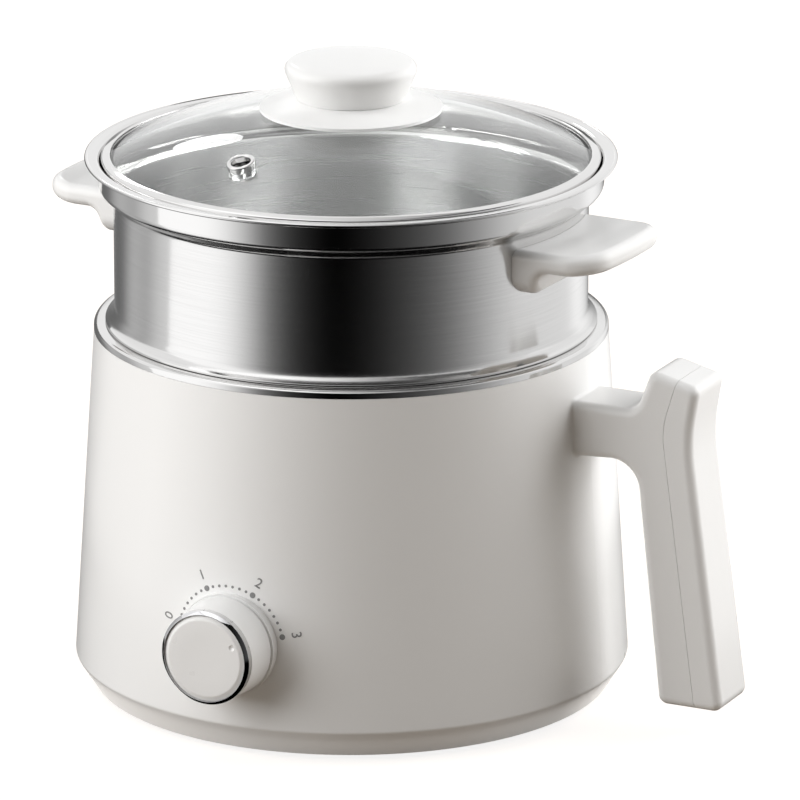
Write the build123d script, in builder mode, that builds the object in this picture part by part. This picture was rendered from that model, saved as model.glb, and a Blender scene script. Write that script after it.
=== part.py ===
"""Electric hot pot with a lift-out steamer and a lift-off glass lid, built as separate pieces.

Millimetres, +Z up. The origin is on the table, under the axis of the pot. The dial faces -Y,
the long handle stands out along +X, the ears lie along +X and -X, the power inlet is on +Y.
"""

import os
from math import cos, radians, sin, sqrt

from build123d import *

# ---------------------------------------------------------------- pot and its rolled rim
POT_INNER_R = 87.2
POT_SHEET = 0.8
POT_DEPTH = 85.0
POT_CORNER_R = 12.0
RIM_HEIGHT = 136.7  # top of the rim above the table
RIM_WIDTH = 6.1
RIM_DROP = 2.7
RIM_INNER_BEND_R = 1.2
RIM_OUTER_BEND_R = 1.5

# ---------------------------------------------------------------- housing
HOUSING_WALL = 2.4
HOUSING_FLARE = 7.9  # the shoulder stands this much further out than the rim
SHOULDER_HEIGHT = 12.2
SHOULDER_SOFTNESS = 1.8
FOOT_BAND_TUCK = 6.45  # the bottom edge lies this much inside the shoulder
GROUND_GAP = 2.0
SEAL_THICKNESS = 0.9
SEAL_WIDTH = 2.2
LAND_HEIGHT = 5.0
FIT = 0.1  # clearance between pieces that are pushed together
OVERRUN = 1.0  # how far a cut runs past what it cuts

# ---------------------------------------------------------------- bottom cover and feet
COVER_THICKNESS = 2.0
COVER_RECESS = 1.0  # the cover lies this much above the housing's bottom edge
COVER_EDGE_GAP = 0.25
COVER_RIB_INSET = 28.1
COVER_RIB_HEIGHT = 3.0
FOOT_R = 7.0
FOOT_PLUG_R = 2.5
FOOT_PLUG_LENGTH = 4.0
FOOT_INSET = 18.1  # from the cover's edge to the middle of a foot
FOOT_COUNT = 4
BOSS_R = 4.0
BOSS_LENGTH = 12.0
BOSS_INSET = 8.75  # from the housing's bottom edge to the middle of a boss
BOSS_RIB_WIDTH = 3.0
BOSS_START_ANGLE = 20.0
BOSS_COUNT = 4
VENT_LENGTH = 26.0
VENT_WIDTH = 3.0
VENT_INSET = 48.1  # from the cover's edge to the middle of a vent slot
VENT_COUNT = 12
SCREW_R = 1.5
SCREW_HEAD_R = 2.9
SCREW_HEAD_HEIGHT = 1.6
SCREW_LENGTH = 9.0

# ---------------------------------------------------------------- heater
PLATE_INSET = 25.2  # from the pot's wall to the plate's edge
PLATE_THICKNESS = 5.0
ELEMENT_INSET = 18.0  # from the plate's edge to the middle of the tube
ELEMENT_TUBE_R = 3.2
ELEMENT_GAP_ANGLE = 40.0
ELEMENT_BEND_R = 5.0
ELEMENT_TAIL = 5.0
SHIELD_EDGE = 8.0  # the shield reaches this far beyond the plate
SHIELD_SHEET = 0.6
SHIELD_DROP = 12.0  # below the heating plate
SHIELD_SKIRT = 8.0
SHIELD_BEND_R = 2.0
SHIELD_LEAD_HOLE_R = 4.0
STUD_R = 2.0
STUD_SPACER_R = 3.2
STUD_CIRCLE_R = 26.0
STUD_COUNT = 3
NUT_R = 3.9
NUT_HEIGHT = 3.0
THERMOSTAT_R = 8.0
THERMOSTAT_HOLE_GAP = 1.0
FUSE_R = 2.0
FUSE_LENGTH = 11.0
FUSE_OFFSET = 28.0

# ---------------------------------------------------------------- heat dial
DIAL_HEIGHT = 42.0
DIAL_R = 17.2  # behind the ring; the body widens from there to the boss
DIAL_BACK_R = 18.2
DIAL_DEPTH = 16.6
DIAL_GAP = 0.4
DIAL_BOSS_R = 18.8
DIAL_BOSS_STAND = 0.3
DIAL_WALL = 2.0
DIAL_FRONT_WALL = 3.0
DIAL_RING_R = 17.3
DIAL_RING_DEPTH = 3.6
DIAL_BEVEL = 1.9
DIAL_CAP_R = 14.7
DIAL_CAP_THICKNESS = 1.4
DIAL_CAP_EDGE_R = 0.8
DIAL_HUB_R = 5.5
DIAL_HUB_BACK = 2.5
POINTER_ANGLE = 27.0
POINTER_CIRCLE_R = 12.3
POINTER_R = 1.1
POINTER_DEPTH = 0.4
SHAFT_R = 3.0
SHAFT_RUNNING_GAP = 0.05
SHAFT_SOCKET = 6.0
BUSHING_R = 4.4
BUSHING_LENGTH = 6.0
BUSHING_NUT_R = 6.6
BUSHING_NUT_HEIGHT = 2.0
CONTROL_SIDE = 17.0
CONTROL_DEPTH = 10.0
SPOT_FACE_R = 9.5
SPOT_FACE_DEPTH = 1.2
PANEL_THICKNESS = 2.8

# ---------------------------------------------------------------- long handle
HANDLE_HALF_WIDTH = 12.5
HANDLE_WALL = 2.6
HANDLE_SOFTNESS = 3.2
HANDLE_DROP = 0.8  # top of the handle below the pot's rim
HANDLE_TOP_FALL = 4.6
HANDLE_FOOT = 11.6
ARM_ROOT = 5.0  # the arm's outline starts this far inside the rim's radius
ARM_FLARE_R = 1.2
ARM_DROP = 16.1  # top of the arm below the pot's rim
ARM_DEPTH = 20.9
ARM_TOP_FALL = 0.2
ARM_BOTTOM_RISE = 1.7
ARM_REACH = 25.1  # from the rim's radius to the notch above the arm
HORN_LEAN = 5.8
GRIP_LEAN = 10.0
WAIST_DROP = 8.9  # the outer face is narrowest this far below the notch
WAIST_DEPTH = 21.2
HORN_DEPTH = 18.7
FOOT_DEPTH = 25.0
SEAM_WAIST_DEPTH = 10.6
SEAM_WAIST_DROP = 5.6
SEAM_HORN_DEPTH = 11.2
SEAM_FOOT_DEPTH = 14.4
SEAM_GAP = 0.15
SEAM_R = 30.0
SEAM_OVERRUN = 10.0
NOTCH_R = 6.0
ELBOW_R = 11.0
WAIST_R = 60.0
CORNER_R = 3.6
ARM_SCREW_SPACING = 8.0
ARM_POST_R = 3.4
ARM_WEB_THICKNESS = 2.0
ARM_SCREW_LENGTH = 16.0
BACKING_THICKNESS = 1.5
BACKING_HALF_WIDTH = 11.0
BACKING_EDGE = 5.0
GRIP_POST_R = 3.8
GRIP_SCREW_START = 13.7  # from the foot of the handle up to the lowest screw
GRIP_SCREW_END = 12.1  # from the highest screw up to the underside of the arm
GRIP_SCREW_COUNT = 3
GRIP_SCREW_LENGTH = 16.0
GRIP_SCREW_SINK = 2.4

# ---------------------------------------------------------------- power inlet
INLET_HEIGHT = 28.0
INLET_WIDTH = 27.4
INLET_TALL = 19.8
INLET_FLANGE_EDGE = 1.8
INLET_FLANGE_THICKNESS = 2.0
INLET_CORNER_R = 3.0
INLET_DEPTH = 22.0
INLET_WALL = 1.8
INLET_SOCKET_DEPTH = 17.0
INLET_BOSS_EDGE = 2.0
INLET_BOSS_STAND = 0.6
PIN_SPACING = 14.0
PIN_STEP = 4.0  # the earth pin stands this much above the other two
PIN_RAISE = 0.5
PIN_WIDTH = 2.0
PIN_TALL = 4.0
PIN_LENGTH = 14.0
PIN_TAIL = 7.0

# ---------------------------------------------------------------- control board and leads
BOARD_LENGTH = 62.0
BOARD_WIDTH = 42.0
BOARD_THICKNESS = 1.6
BOARD_STAND = 6.0
BOARD_INSET = 48.75  # from the housing's bottom edge to the board's middle
BOARD_EDGE = 3.5
BOARD_POST_R = 2.6
BOARD_SCREW_R = 1.1
BOARD_SCREW_HEAD_R = 2.1
BOARD_SCREW_LENGTH = 6.0
RELAY = (18.0, 14.0, 14.0)
CAPACITOR_R = 5.0
CAPACITOR_HEIGHT = 16.0
SINK = (4.0, 14.0, 15.0)
PART_SPREAD = 15.0
PART_ROW = 13.0  # the row of parts lies this far behind the board's middle
LEAD_R = 1.2
LEAD_BEND_R = 4.5
LEAD_RISE = 9.0  # height of the leads over the board
LEAD_STRAIGHT = 12.0  # straight stretch behind a pin
MAINS_LEAD_X = 22.0
EARTH_LEAD_X = 6.0
EARTH_LEAD_Y = 38.0
HEATER_LEAD_SPREAD = 46.0
HEATER_LEAD_SETBACK = 8.0
TERMINAL_PITCH = 4.0

# ---------------------------------------------------------------- steamer
STEAMER_SHEET = 0.8
STEAMER_GAP = 1.4  # between the pot's wall and the steamer's wall
STEAMER_DROP = 10.5  # how far it hangs into the pot
STEAMER_RISE = 46.8  # from the pot's rim to the step
HEM_WIDTH = 3.3
HEM_THICKNESS = 1.3
HEM_FLARE_R = 3.5
SEAT_GAP = 0.1  # a lifted piece rests this close to its seat
STEP_WIDTH = 5.5
STEP_RISE = 3.9
STEP_BEND_R = 1.2
COLLAR_HEIGHT = 9.8
LIP_WIDTH = 4.8
LIP_BEND_R = 1.4
LIP_BEAD_R = 0.7
STEAM_HOLE_R = 3.0
STEAM_RING_PITCH = 17.0
STEAM_RINGS = 4
STEAM_RING_STEP = 6  # each ring has this many more holes than the one inside it
STEAM_PLATE_SHEET = 0.8
STEAM_PLATE_RISE = 1.8  # top of the plate above the steamer's bottom edge
STEAM_PLATE_BEND_R = 1.2

# ---------------------------------------------------------------- ears
EAR_TURN = -2.5  # the ears stand turned by this about the pot's axis
EAR_REACH = 29.2  # beyond the steamer's wall
EAR_HALF_WIDTH = 29.0
EAR_THICKNESS = 7.6
EAR_UPTURN = 1.5
EAR_FLAT = 16.0  # the ear runs level this far out from the wall
EAR_UPTURN_R = 40.0
EAR_BELOW_STEP = 3.5
EAR_CORNER_R = 14.0
EAR_NOSE_BOW = 2.5
EAR_SOFTNESS = 3.4
EAR_ROOT_INSIDE = 10.0
EAR_ROOT_HEIGHT = 16.5
EAR_ROOT_THICKNESS = 3.8
EAR_ROOT_BEND_R = 5.0
EAR_ROOT_CORNER_R = 7.0
BRACKET_SHEET = 1.2
BRACKET_HALF_WIDTH = 9.0
BRACKET_TONGUE = 16.0
BRACKET_LEG = 9.0
EAR_SCREW_OFFSET = 10.0
EAR_SCREW_R = 1.3
EAR_SCREW_SINK = 1.0

# ---------------------------------------------------------------- lid
GLASS_THICKNESS = 4.0
DOME_RISE = 20.4
DOME_EDGE_DROP = 0.1  # the dome's edge lies this far below the steamer's lip
BAND_SHEET = 0.8
BAND_GAP = 0.35  # between the band and the steamer's collar
BAND_LIP = 2.6
BAND_BEND_R = 1.0
LID_SEAT = 0.25
KNOB_BASE_R = 32.9
KNOB_BASE_EDGE = 1.1
KNOB_NECK_R = 19.8
KNOB_NECK_RISE = 1.7  # top of the base above the dome's apex
KNOB_R = 25.3  # where the flank and the crown would meet if the edge were not rounded
KNOB_HEIGHT = 15.4
KNOB_CROWN = 2.4
KNOB_EDGE_R = 3.2
KNOB_SPIGOT_R = 3.4
KNOB_SCREW_R = 2.0
KNOB_SCREW_HEAD_R = 4.4
KNOB_SCREW_HEAD = 2.0
KNOB_SCREW_BITE = 9.0
GLASS_HOLE_R = 4.0
WASHER_R = 20.5
WASHER_THICKNESS = 1.6
STEAM_VENT_X = -11.6
STEAM_VENT_Y = -63.4
EYELET_R = 5.2
EYELET_RISE = 2.6
EYELET_TUBE_R = 4.6
EYELET_BORE_R = 3.0
EYELET_MOUTH_R = 3.6
EYELET_FOOT = 1.0

# ---------------------------------------------------------------- derived places
rim_outer_r = POT_INNER_R + RIM_WIDTH
pot_floor_top = RIM_HEIGHT - POT_DEPTH
pot_floor_bottom = pot_floor_top - POT_SHEET

housing_top = RIM_HEIGHT - RIM_DROP - FIT
shoulder_r = rim_outer_r + HOUSING_FLARE
bottom_edge_r = shoulder_r - FOOT_BAND_TUCK
seal_top = RIM_HEIGHT - POT_SHEET
seal_bottom = seal_top - SEAL_THICKNESS
land_outer_r = rim_outer_r - POT_SHEET - FIT
land_inner_r = land_outer_r - SEAL_WIDTH

cover_bottom = GROUND_GAP + COVER_RECESS
cover_top = cover_bottom + COVER_THICKNESS
cover_r = bottom_edge_r - HOUSING_WALL - COVER_EDGE_GAP
cover_rib_r = cover_r - COVER_RIB_INSET
vent_circle_r = cover_r - VENT_INSET
foot_circle_r = cover_r - FOOT_INSET
boss_circle_r = bottom_edge_r - BOSS_INSET

plate_r = POT_INNER_R - PLATE_INSET
element_ring_r = plate_r - ELEMENT_INSET
shield_r = plate_r + SHIELD_EDGE
plate_bottom = pot_floor_bottom - PLATE_THICKNESS
shield_top = plate_bottom - SHIELD_DROP
shield_bottom = shield_top - SHIELD_SHEET

board_offset = bottom_edge_r - BOARD_INSET
board_bottom = cover_top + BOARD_STAND
board_top = board_bottom + BOARD_THICKNESS
board_screw_spots = [
    Location((x, -board_offset + y, 0))
    for x in (BOARD_EDGE - BOARD_LENGTH / 2, BOARD_LENGTH / 2 - BOARD_EDGE)
    for y in (BOARD_EDGE - BOARD_WIDTH / 2, BOARD_WIDTH / 2 - BOARD_EDGE)
]

steamer_r = POT_INNER_R - STEAMER_GAP
steamer_bottom = RIM_HEIGHT - STEAMER_DROP
hem_bottom = RIM_HEIGHT + SEAT_GAP
hem_top = hem_bottom + HEM_THICKNESS
step_bottom = RIM_HEIGHT + STEAMER_RISE
step_top = step_bottom + STEP_RISE
collar_r = steamer_r + STEP_WIDTH
lip_bottom = step_top + COLLAR_HEIGHT
lip_top = lip_bottom + STEAMER_SHEET

band_r = collar_r - STEAMER_SHEET - BAND_GAP
glass_r = band_r - BAND_SHEET - FIT
dome_edge = lip_top - DOME_EDGE_DROP - BAND_SHEET
dome_r = (glass_r**2 + DOME_RISE**2) / (2 * DOME_RISE)
dome_apex = dome_edge + DOME_RISE


def housing_radius(z):
    """Outer radius of the tapered wall between the shoulder and the rim."""
    return shoulder_r - HOUSING_FLARE * (z - SHOULDER_HEIGHT) / (housing_top - SHOULDER_HEIGHT)


def dome_height(radius, depth=0.0):
    """Height of the glass at a radius: its outer face, or a face that lies depth below it."""
    return dome_apex - dome_r + sqrt((dome_r - depth) ** 2 - radius**2)


def dome_line(start_r, end_r, depth=0.0):
    """Line along the glass's outer face, or along a face that lies depth below it."""
    bend = dome_r - depth if end_r > start_r else depth - dome_r
    start, end = [(radius, dome_height(radius, depth)) for radius in (start_r, end_r)]
    return RadiusArc(start, end, bend)


# ---------------------------------------------------------------- helpers
def turned(*points, about=Plane.XZ, mode=Mode.ADD):
    """Turn a closed outline of (radius, height) points about the plane's own upright axis."""
    with BuildSketch(about) as section:
        with BuildLine():
            Polyline(*points, close=True)
        make_face()
    revolve(section.sketch, axis=Axis(about.origin, about.y_dir), mode=mode)


def sheet_section(points, bends, sheet, side):
    """Section of one sheet whose face follows the points with rounded bends."""
    with BuildSketch(Plane.XZ) as section:
        with BuildLine():
            face_line = FilletPolyline(*points, radius=bends)
            offset(face_line, amount=sheet, side=side)
        make_face()
    return section


def disc(plane, radius, length, mode=Mode.ADD):
    """A round bar or hole that starts on the plane and runs along its normal."""
    with BuildSketch(plane) as outline:
        Circle(radius)
    extrude(outline.sketch, amount=length, mode=mode)


def block(plane, width, height, length, corner=0.0, mode=Mode.ADD):
    """A rectangular bar or hole that starts on the plane and runs along its normal."""
    with BuildSketch(plane) as outline:
        Rectangle(width, height)
        if corner:
            fillet(outline.vertices(), corner)
    extrude(outline.sketch, amount=length, mode=mode)


def pan_screw(seat, length, shank_r=SCREW_R, head_r=SCREW_HEAD_R, head=SCREW_HEAD_HEIGHT):
    """A screw whose head stands on the seat plane and whose shank runs back behind it."""
    disc(seat, head_r, head)
    disc(seat, shank_r, -length)


def lead(*route):
    """One insulated wire along straight runs with rounded bends."""
    with BuildLine() as run:
        FilletPolyline(*route, radius=LEAD_BEND_R)
    with BuildSketch(Plane(run.line @ 0, z_dir=run.line % 0)) as section:
        Circle(LEAD_R)
    sweep(section.sketch, path=run.line)


def finish(piece, label):
    """Label a finished piece and write it to its own file."""
    piece.part.label = label
    export_step(piece.part, f"parts/{label}.step")


def housing_body():
    """The housing's outside as one full body, which also seats what touches the wall."""
    with BuildPart(mode=Mode.PRIVATE) as body:
        with BuildSketch(Plane.XZ) as section:
            with BuildLine():
                Polyline(
                    (0, GROUND_GAP),
                    (bottom_edge_r, GROUND_GAP),
                    (shoulder_r, SHOULDER_HEIGHT),
                    (rim_outer_r, housing_top),
                    (0, housing_top),
                    close=True,
                )
            make_face()
            fillet(section.vertices().sort_by(Axis.X)[-1], SHOULDER_SOFTNESS)
        revolve(section.sketch, axis=Axis.Z)
    return body.part


os.makedirs("parts", exist_ok=True)
housing_outside = housing_body()

# ================================================================ places on the housing's wall
spot_face = housing_radius(DIAL_HEIGHT) - SPOT_FACE_DEPTH
panel_back = spot_face - PANEL_THICKNESS
boss_face = housing_radius(DIAL_HEIGHT - DIAL_BOSS_R) + DIAL_BOSS_STAND
dial_back = boss_face + DIAL_GAP


def dial_plane(distance):
    """Plane across the dial's axis, this far from the pot's axis, facing the user."""
    return Plane((0, -distance, DIAL_HEIGHT), x_dir=(1, 0, 0), z_dir=(0, -1, 0))


def dial_section(distance):
    """Plane along the dial's axis, on which an outline is drawn as (radius, way out)."""
    return Plane((0, -distance, DIAL_HEIGHT), x_dir=(1, 0, 0), z_dir=(0, 0, -1))


inlet_face = housing_radius(INLET_HEIGHT - INLET_TALL / 2) + INLET_BOSS_STAND
inlet_flange_width = INLET_WIDTH + 2 * INLET_FLANGE_EDGE
inlet_flange_tall = INLET_TALL + 2 * INLET_FLANGE_EDGE


def inlet_plane(distance, x=0.0, z=INLET_HEIGHT):
    """Plane across the inlet, this far from the pot's axis, facing out at the back."""
    return Plane((x, distance, z), x_dir=(-1, 0, 0), z_dir=(0, 1, 0))


arm_top = RIM_HEIGHT - ARM_DROP
arm_middle = arm_top - ARM_DEPTH / 2
elbow_height = arm_top - ARM_DEPTH + ARM_BOTTOM_RISE
arm_screw_heights = [arm_middle + side * ARM_SCREW_SPACING / 2 for side in (-1, 1)]
grip_screw_span = elbow_height - HANDLE_FOOT - GRIP_SCREW_START - GRIP_SCREW_END
grip_screw_heights = [
    HANDLE_FOOT + GRIP_SCREW_START + step * grip_screw_span / (GRIP_SCREW_COUNT - 1)
    for step in range(GRIP_SCREW_COUNT)
]
backing_tall = ARM_SCREW_SPACING + 2 * BACKING_EDGE
arm_wall_x = housing_radius(arm_middle + backing_tall / 2) - HOUSING_WALL
backing_face = sqrt(arm_wall_x**2 - BACKING_HALF_WIDTH**2)
backing_back = backing_face - BACKING_THICKNESS


def side_plane(x, z, y=0.0):
    """Plane across the X axis at a height, facing the handle."""
    return Plane((x, y, z), x_dir=(0, 1, 0), z_dir=(1, 0, 0))


# ================================================================ housing
with BuildPart() as housing_shell:
    add(housing_outside)
    turned(
        (0, 0),
        (bottom_edge_r - HOUSING_WALL, 0),
        (bottom_edge_r - HOUSING_WALL, GROUND_GAP),
        (shoulder_r - HOUSING_WALL, SHOULDER_HEIGHT),
        (rim_outer_r - HOUSING_WALL, housing_top),
        (rim_outer_r - HOUSING_WALL, housing_top + OVERRUN),
        (0, housing_top + OVERRUN),
        mode=Mode.SUBTRACT,
    )
    # land that carries the seal under the pot's rim
    turned(
        (land_inner_r, housing_top - LAND_HEIGHT),
        (rim_outer_r - HOUSING_WALL / 2, housing_top - LAND_HEIGHT),
        (land_outer_r, housing_top),
        (land_outer_r, seal_bottom),
        (land_inner_r, seal_bottom),
    )
    # flat round boss behind the dial
    disc(dial_plane(panel_back), DIAL_BOSS_R, boss_face - panel_back)
    disc(dial_plane(spot_face), SPOT_FACE_R, boss_face - spot_face, mode=Mode.SUBTRACT)
    disc(dial_plane(panel_back), BUSHING_R + FIT, PANEL_THICKNESS, mode=Mode.SUBTRACT)
    # flat boss and opening for the power inlet
    block(
        inlet_plane(housing_radius(INLET_HEIGHT) - HOUSING_WALL * 2),
        inlet_flange_width + 2 * INLET_BOSS_EDGE,
        inlet_flange_tall + 2 * INLET_BOSS_EDGE,
        inlet_face - housing_radius(INLET_HEIGHT) + HOUSING_WALL * 2,
        corner=INLET_CORNER_R + INLET_BOSS_EDGE,
    )
    block(
        inlet_plane(inlet_face - INLET_DEPTH),
        INLET_WIDTH + 2 * FIT,
        INLET_TALL + 2 * FIT,
        INLET_DEPTH,
        corner=INLET_CORNER_R,
        mode=Mode.SUBTRACT,
    )
    # flat pad inside the wall for the plate behind the handle's arm
    block(
        side_plane(backing_face, arm_middle),
        2 * BACKING_HALF_WIDTH,
        backing_tall,
        HOUSING_WALL,
    )
    for height in arm_screw_heights:
        hole = side_plane(backing_back, height)
        disc(hole, SCREW_R + FIT, shoulder_r - backing_back, mode=Mode.SUBTRACT)
    # screw bosses for the bottom cover, each tied to the foot band by a rib
    rib_end = bottom_edge_r + COVER_RECESS
    with BuildSketch(Plane.XY.offset(cover_top)):
        with PolarLocations(boss_circle_r, BOSS_COUNT, start_angle=BOSS_START_ANGLE):
            Circle(BOSS_R)
        with PolarLocations(
            (boss_circle_r + rib_end) / 2, BOSS_COUNT, start_angle=BOSS_START_ANGLE
        ):
            Rectangle(rib_end - boss_circle_r, BOSS_RIB_WIDTH)
    extrude(amount=BOSS_LENGTH)
    with BuildSketch(Plane.XY.offset(cover_top)):
        with PolarLocations(boss_circle_r, BOSS_COUNT, start_angle=BOSS_START_ANGLE):
            Circle(SCREW_R + FIT / 2)
    extrude(amount=SCREW_LENGTH, mode=Mode.SUBTRACT)
finish(housing_shell, "housing_shell")

with BuildPart() as bottom_cover:
    disc(Plane.XY.offset(cover_bottom), cover_r, COVER_THICKNESS)
    turned(
        (cover_rib_r, cover_top),
        (cover_rib_r + COVER_THICKNESS, cover_top),
        (cover_rib_r + COVER_THICKNESS, cover_top + COVER_RIB_HEIGHT),
        (cover_rib_r, cover_top + COVER_RIB_HEIGHT),
    )
    with BuildSketch(Plane.XY.offset(cover_top)):
        with Locations(*board_screw_spots):
            Circle(BOARD_POST_R)
            Circle(BOARD_SCREW_R + FIT / 2, mode=Mode.SUBTRACT)
    extrude(amount=BOARD_STAND)
    with BuildSketch(Plane.XY.offset(cover_bottom)):
        with PolarLocations(vent_circle_r, VENT_COUNT):
            SlotOverall(VENT_LENGTH, VENT_WIDTH)
        with PolarLocations(foot_circle_r, FOOT_COUNT, start_angle=180 / FOOT_COUNT):
            Circle(FOOT_PLUG_R + FIT / 2)
        with PolarLocations(boss_circle_r, BOSS_COUNT, start_angle=BOSS_START_ANGLE):
            Circle(SCREW_R + FIT)
    extrude(amount=COVER_THICKNESS, mode=Mode.SUBTRACT)
finish(bottom_cover, "bottom_cover")

with BuildPart() as rubber_feet:
    with BuildSketch(Plane.XY):
        with PolarLocations(foot_circle_r, FOOT_COUNT, start_angle=180 / FOOT_COUNT):
            Circle(FOOT_R)
    extrude(amount=cover_bottom)
    chamfer(rubber_feet.faces().filter_by(Axis.Z).group_by(Axis.Z)[0].edges(), GROUND_GAP / 3)
    with BuildSketch(Plane.XY.offset(cover_bottom)):
        with PolarLocations(foot_circle_r, FOOT_COUNT, start_angle=180 / FOOT_COUNT):
            Circle(FOOT_PLUG_R)
    extrude(amount=FOOT_PLUG_LENGTH)
finish(rubber_feet, "rubber_feet")

with BuildPart() as cover_screws:
    for spot in PolarLocations(boss_circle_r, BOSS_COUNT, start_angle=BOSS_START_ANGLE):
        seat = Plane(spot.position + Vector(0, 0, cover_bottom), z_dir=(0, 0, -1))
        pan_screw(seat, SCREW_LENGTH)
finish(cover_screws, "cover_screws")

# ================================================================ inner pot
with BuildPart() as inner_pot:
    pot_section = sheet_section(
        [
            (0, pot_floor_top),
            (POT_INNER_R, pot_floor_top),
            (POT_INNER_R, RIM_HEIGHT),
            (rim_outer_r, RIM_HEIGHT),
            (rim_outer_r, RIM_HEIGHT - RIM_DROP),
        ],
        [POT_CORNER_R, RIM_INNER_BEND_R, RIM_OUTER_BEND_R],
        POT_SHEET,
        Side.RIGHT,
    )
    revolve(pot_section.sketch, axis=Axis.Z)
finish(inner_pot, "inner_pot")

with BuildPart() as rim_seal:
    turned(
        (land_inner_r, seal_bottom),
        (land_outer_r - RIM_OUTER_BEND_R / 2, seal_bottom),
        (land_outer_r - RIM_OUTER_BEND_R / 2, seal_top),
        (land_inner_r, seal_top),
    )
finish(rim_seal, "rim_seal")

# ================================================================ heater under the pot
element_ends = []
element_tails = []
for turn in (1, -1):
    end_angle = radians(-90 - turn * ELEMENT_GAP_ANGLE / 2)
    outward = Vector(cos(end_angle), sin(end_angle), 0)
    into_gap = Vector(-outward.Y, outward.X, 0) * turn
    ring_end = outward * element_ring_r + Vector(0, 0, plate_bottom)
    element_ends.append(Plane(ring_end, x_dir=outward, z_dir=into_gap))
    element_tails.append(ring_end + (into_gap - Vector(0, 0, 1)) * ELEMENT_BEND_R)

with BuildPart() as heating_plate:
    disc(Plane.XY.offset(plate_bottom), plate_r, PLATE_THICKNESS)
    disc(
        Plane.XY.offset(plate_bottom),
        THERMOSTAT_R + THERMOSTAT_HOLE_GAP,
        PLATE_THICKNESS,
        mode=Mode.SUBTRACT,
    )
    groove_half = ELEMENT_TUBE_R + FIT
    turned(
        (element_ring_r - groove_half, plate_bottom),
        (element_ring_r + groove_half, plate_bottom),
        (element_ring_r + groove_half, plate_bottom + ELEMENT_TUBE_R),
        (element_ring_r - groove_half, plate_bottom + ELEMENT_TUBE_R),
        mode=Mode.SUBTRACT,
    )
finish(heating_plate, "heating_plate")

with BuildPart() as heating_element:
    for ring_end, tail, turn in zip(element_ends, element_tails, (1, -1)):
        with BuildSketch(ring_end) as tube:
            Circle(ELEMENT_TUBE_R)
        bend_centre = ring_end.origin - Vector(0, 0, ELEMENT_BEND_R)
        revolve(tube.sketch, axis=Axis(bend_centre, ring_end.x_dir * -turn), revolution_arc=90)
        disc(Plane(tail, z_dir=(0, 0, -1)), ELEMENT_TUBE_R, ELEMENT_TAIL)
    revolve(tube.sketch, axis=Axis.Z, revolution_arc=360 - ELEMENT_GAP_ANGLE)
finish(heating_element, "heating_element")

with BuildPart() as heat_shield:
    shield_section = sheet_section(
        [(0, shield_top), (shield_r, shield_top), (shield_r, shield_top + SHIELD_SKIRT)],
        [SHIELD_BEND_R],
        SHIELD_SHEET,
        Side.RIGHT,
    )
    revolve(shield_section.sketch, axis=Axis.Z)
    with BuildSketch(Plane.XY.offset(shield_bottom)):
        with PolarLocations(STUD_CIRCLE_R, STUD_COUNT, start_angle=90):
            Circle(STUD_R + FIT / 2)
        with Locations(*[(tail.X, tail.Y) for tail in element_tails]):
            Circle(SHIELD_LEAD_HOLE_R)
    extrude(amount=SHIELD_SHEET, mode=Mode.SUBTRACT)
finish(heat_shield, "heat_shield")

with BuildPart() as shield_studs:
    for spot in PolarLocations(STUD_CIRCLE_R, STUD_COUNT, start_angle=90):
        below_plate = Plane(spot.position + Vector(0, 0, plate_bottom), z_dir=(0, 0, -1))
        disc(below_plate, STUD_SPACER_R, SHIELD_DROP)
        disc(below_plate, STUD_R, SHIELD_DROP + SHIELD_SHEET + NUT_HEIGHT + STUD_R / 2)
finish(shield_studs, "shield_studs")

with BuildPart() as shield_nuts:
    with BuildSketch(Plane.XY.offset(shield_bottom - NUT_HEIGHT)):
        with PolarLocations(STUD_CIRCLE_R, STUD_COUNT, start_angle=90):
            RegularPolygon(NUT_R, 6)
            Circle(STUD_R + FIT / 2, mode=Mode.SUBTRACT)
    extrude(amount=NUT_HEIGHT)
finish(shield_nuts, "shield_nuts")

with BuildPart() as thermostat:
    disc(Plane.XY.offset(shield_top), THERMOSTAT_R, pot_floor_bottom - shield_top)
finish(thermostat, "thermostat")

with BuildPart() as thermal_fuse:
    disc(side_plane(FUSE_OFFSET, plate_bottom - FUSE_R), FUSE_R, FUSE_LENGTH)
finish(thermal_fuse, "thermal_fuse")

# ================================================================ heat control and its dial
with BuildPart() as heat_control:
    control_plane = dial_plane(panel_back)
    block(control_plane, CONTROL_SIDE, CONTROL_SIDE, -CONTROL_DEPTH)
    disc(control_plane, BUSHING_R, BUSHING_LENGTH)
    disc(
        dial_plane(panel_back - SHAFT_SOCKET),
        SHAFT_R + SHAFT_RUNNING_GAP,
        SHAFT_SOCKET + BUSHING_LENGTH,
        mode=Mode.SUBTRACT,
    )
finish(heat_control, "heat_control")

with BuildPart() as control_nut:
    with BuildSketch(dial_plane(spot_face)):
        RegularPolygon(BUSHING_NUT_R, 6)
        Circle(BUSHING_R + FIT / 2, mode=Mode.SUBTRACT)
    extrude(amount=BUSHING_NUT_HEIGHT)
finish(control_nut, "control_nut")

dial_ring_back = dial_back + DIAL_DEPTH - DIAL_RING_DEPTH
dial_face = dial_back + DIAL_DEPTH
dial_cap_seat = dial_face - DIAL_CAP_THICKNESS
hub_back = max(dial_back, panel_back + BUSHING_LENGTH) + DIAL_HUB_BACK

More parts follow.
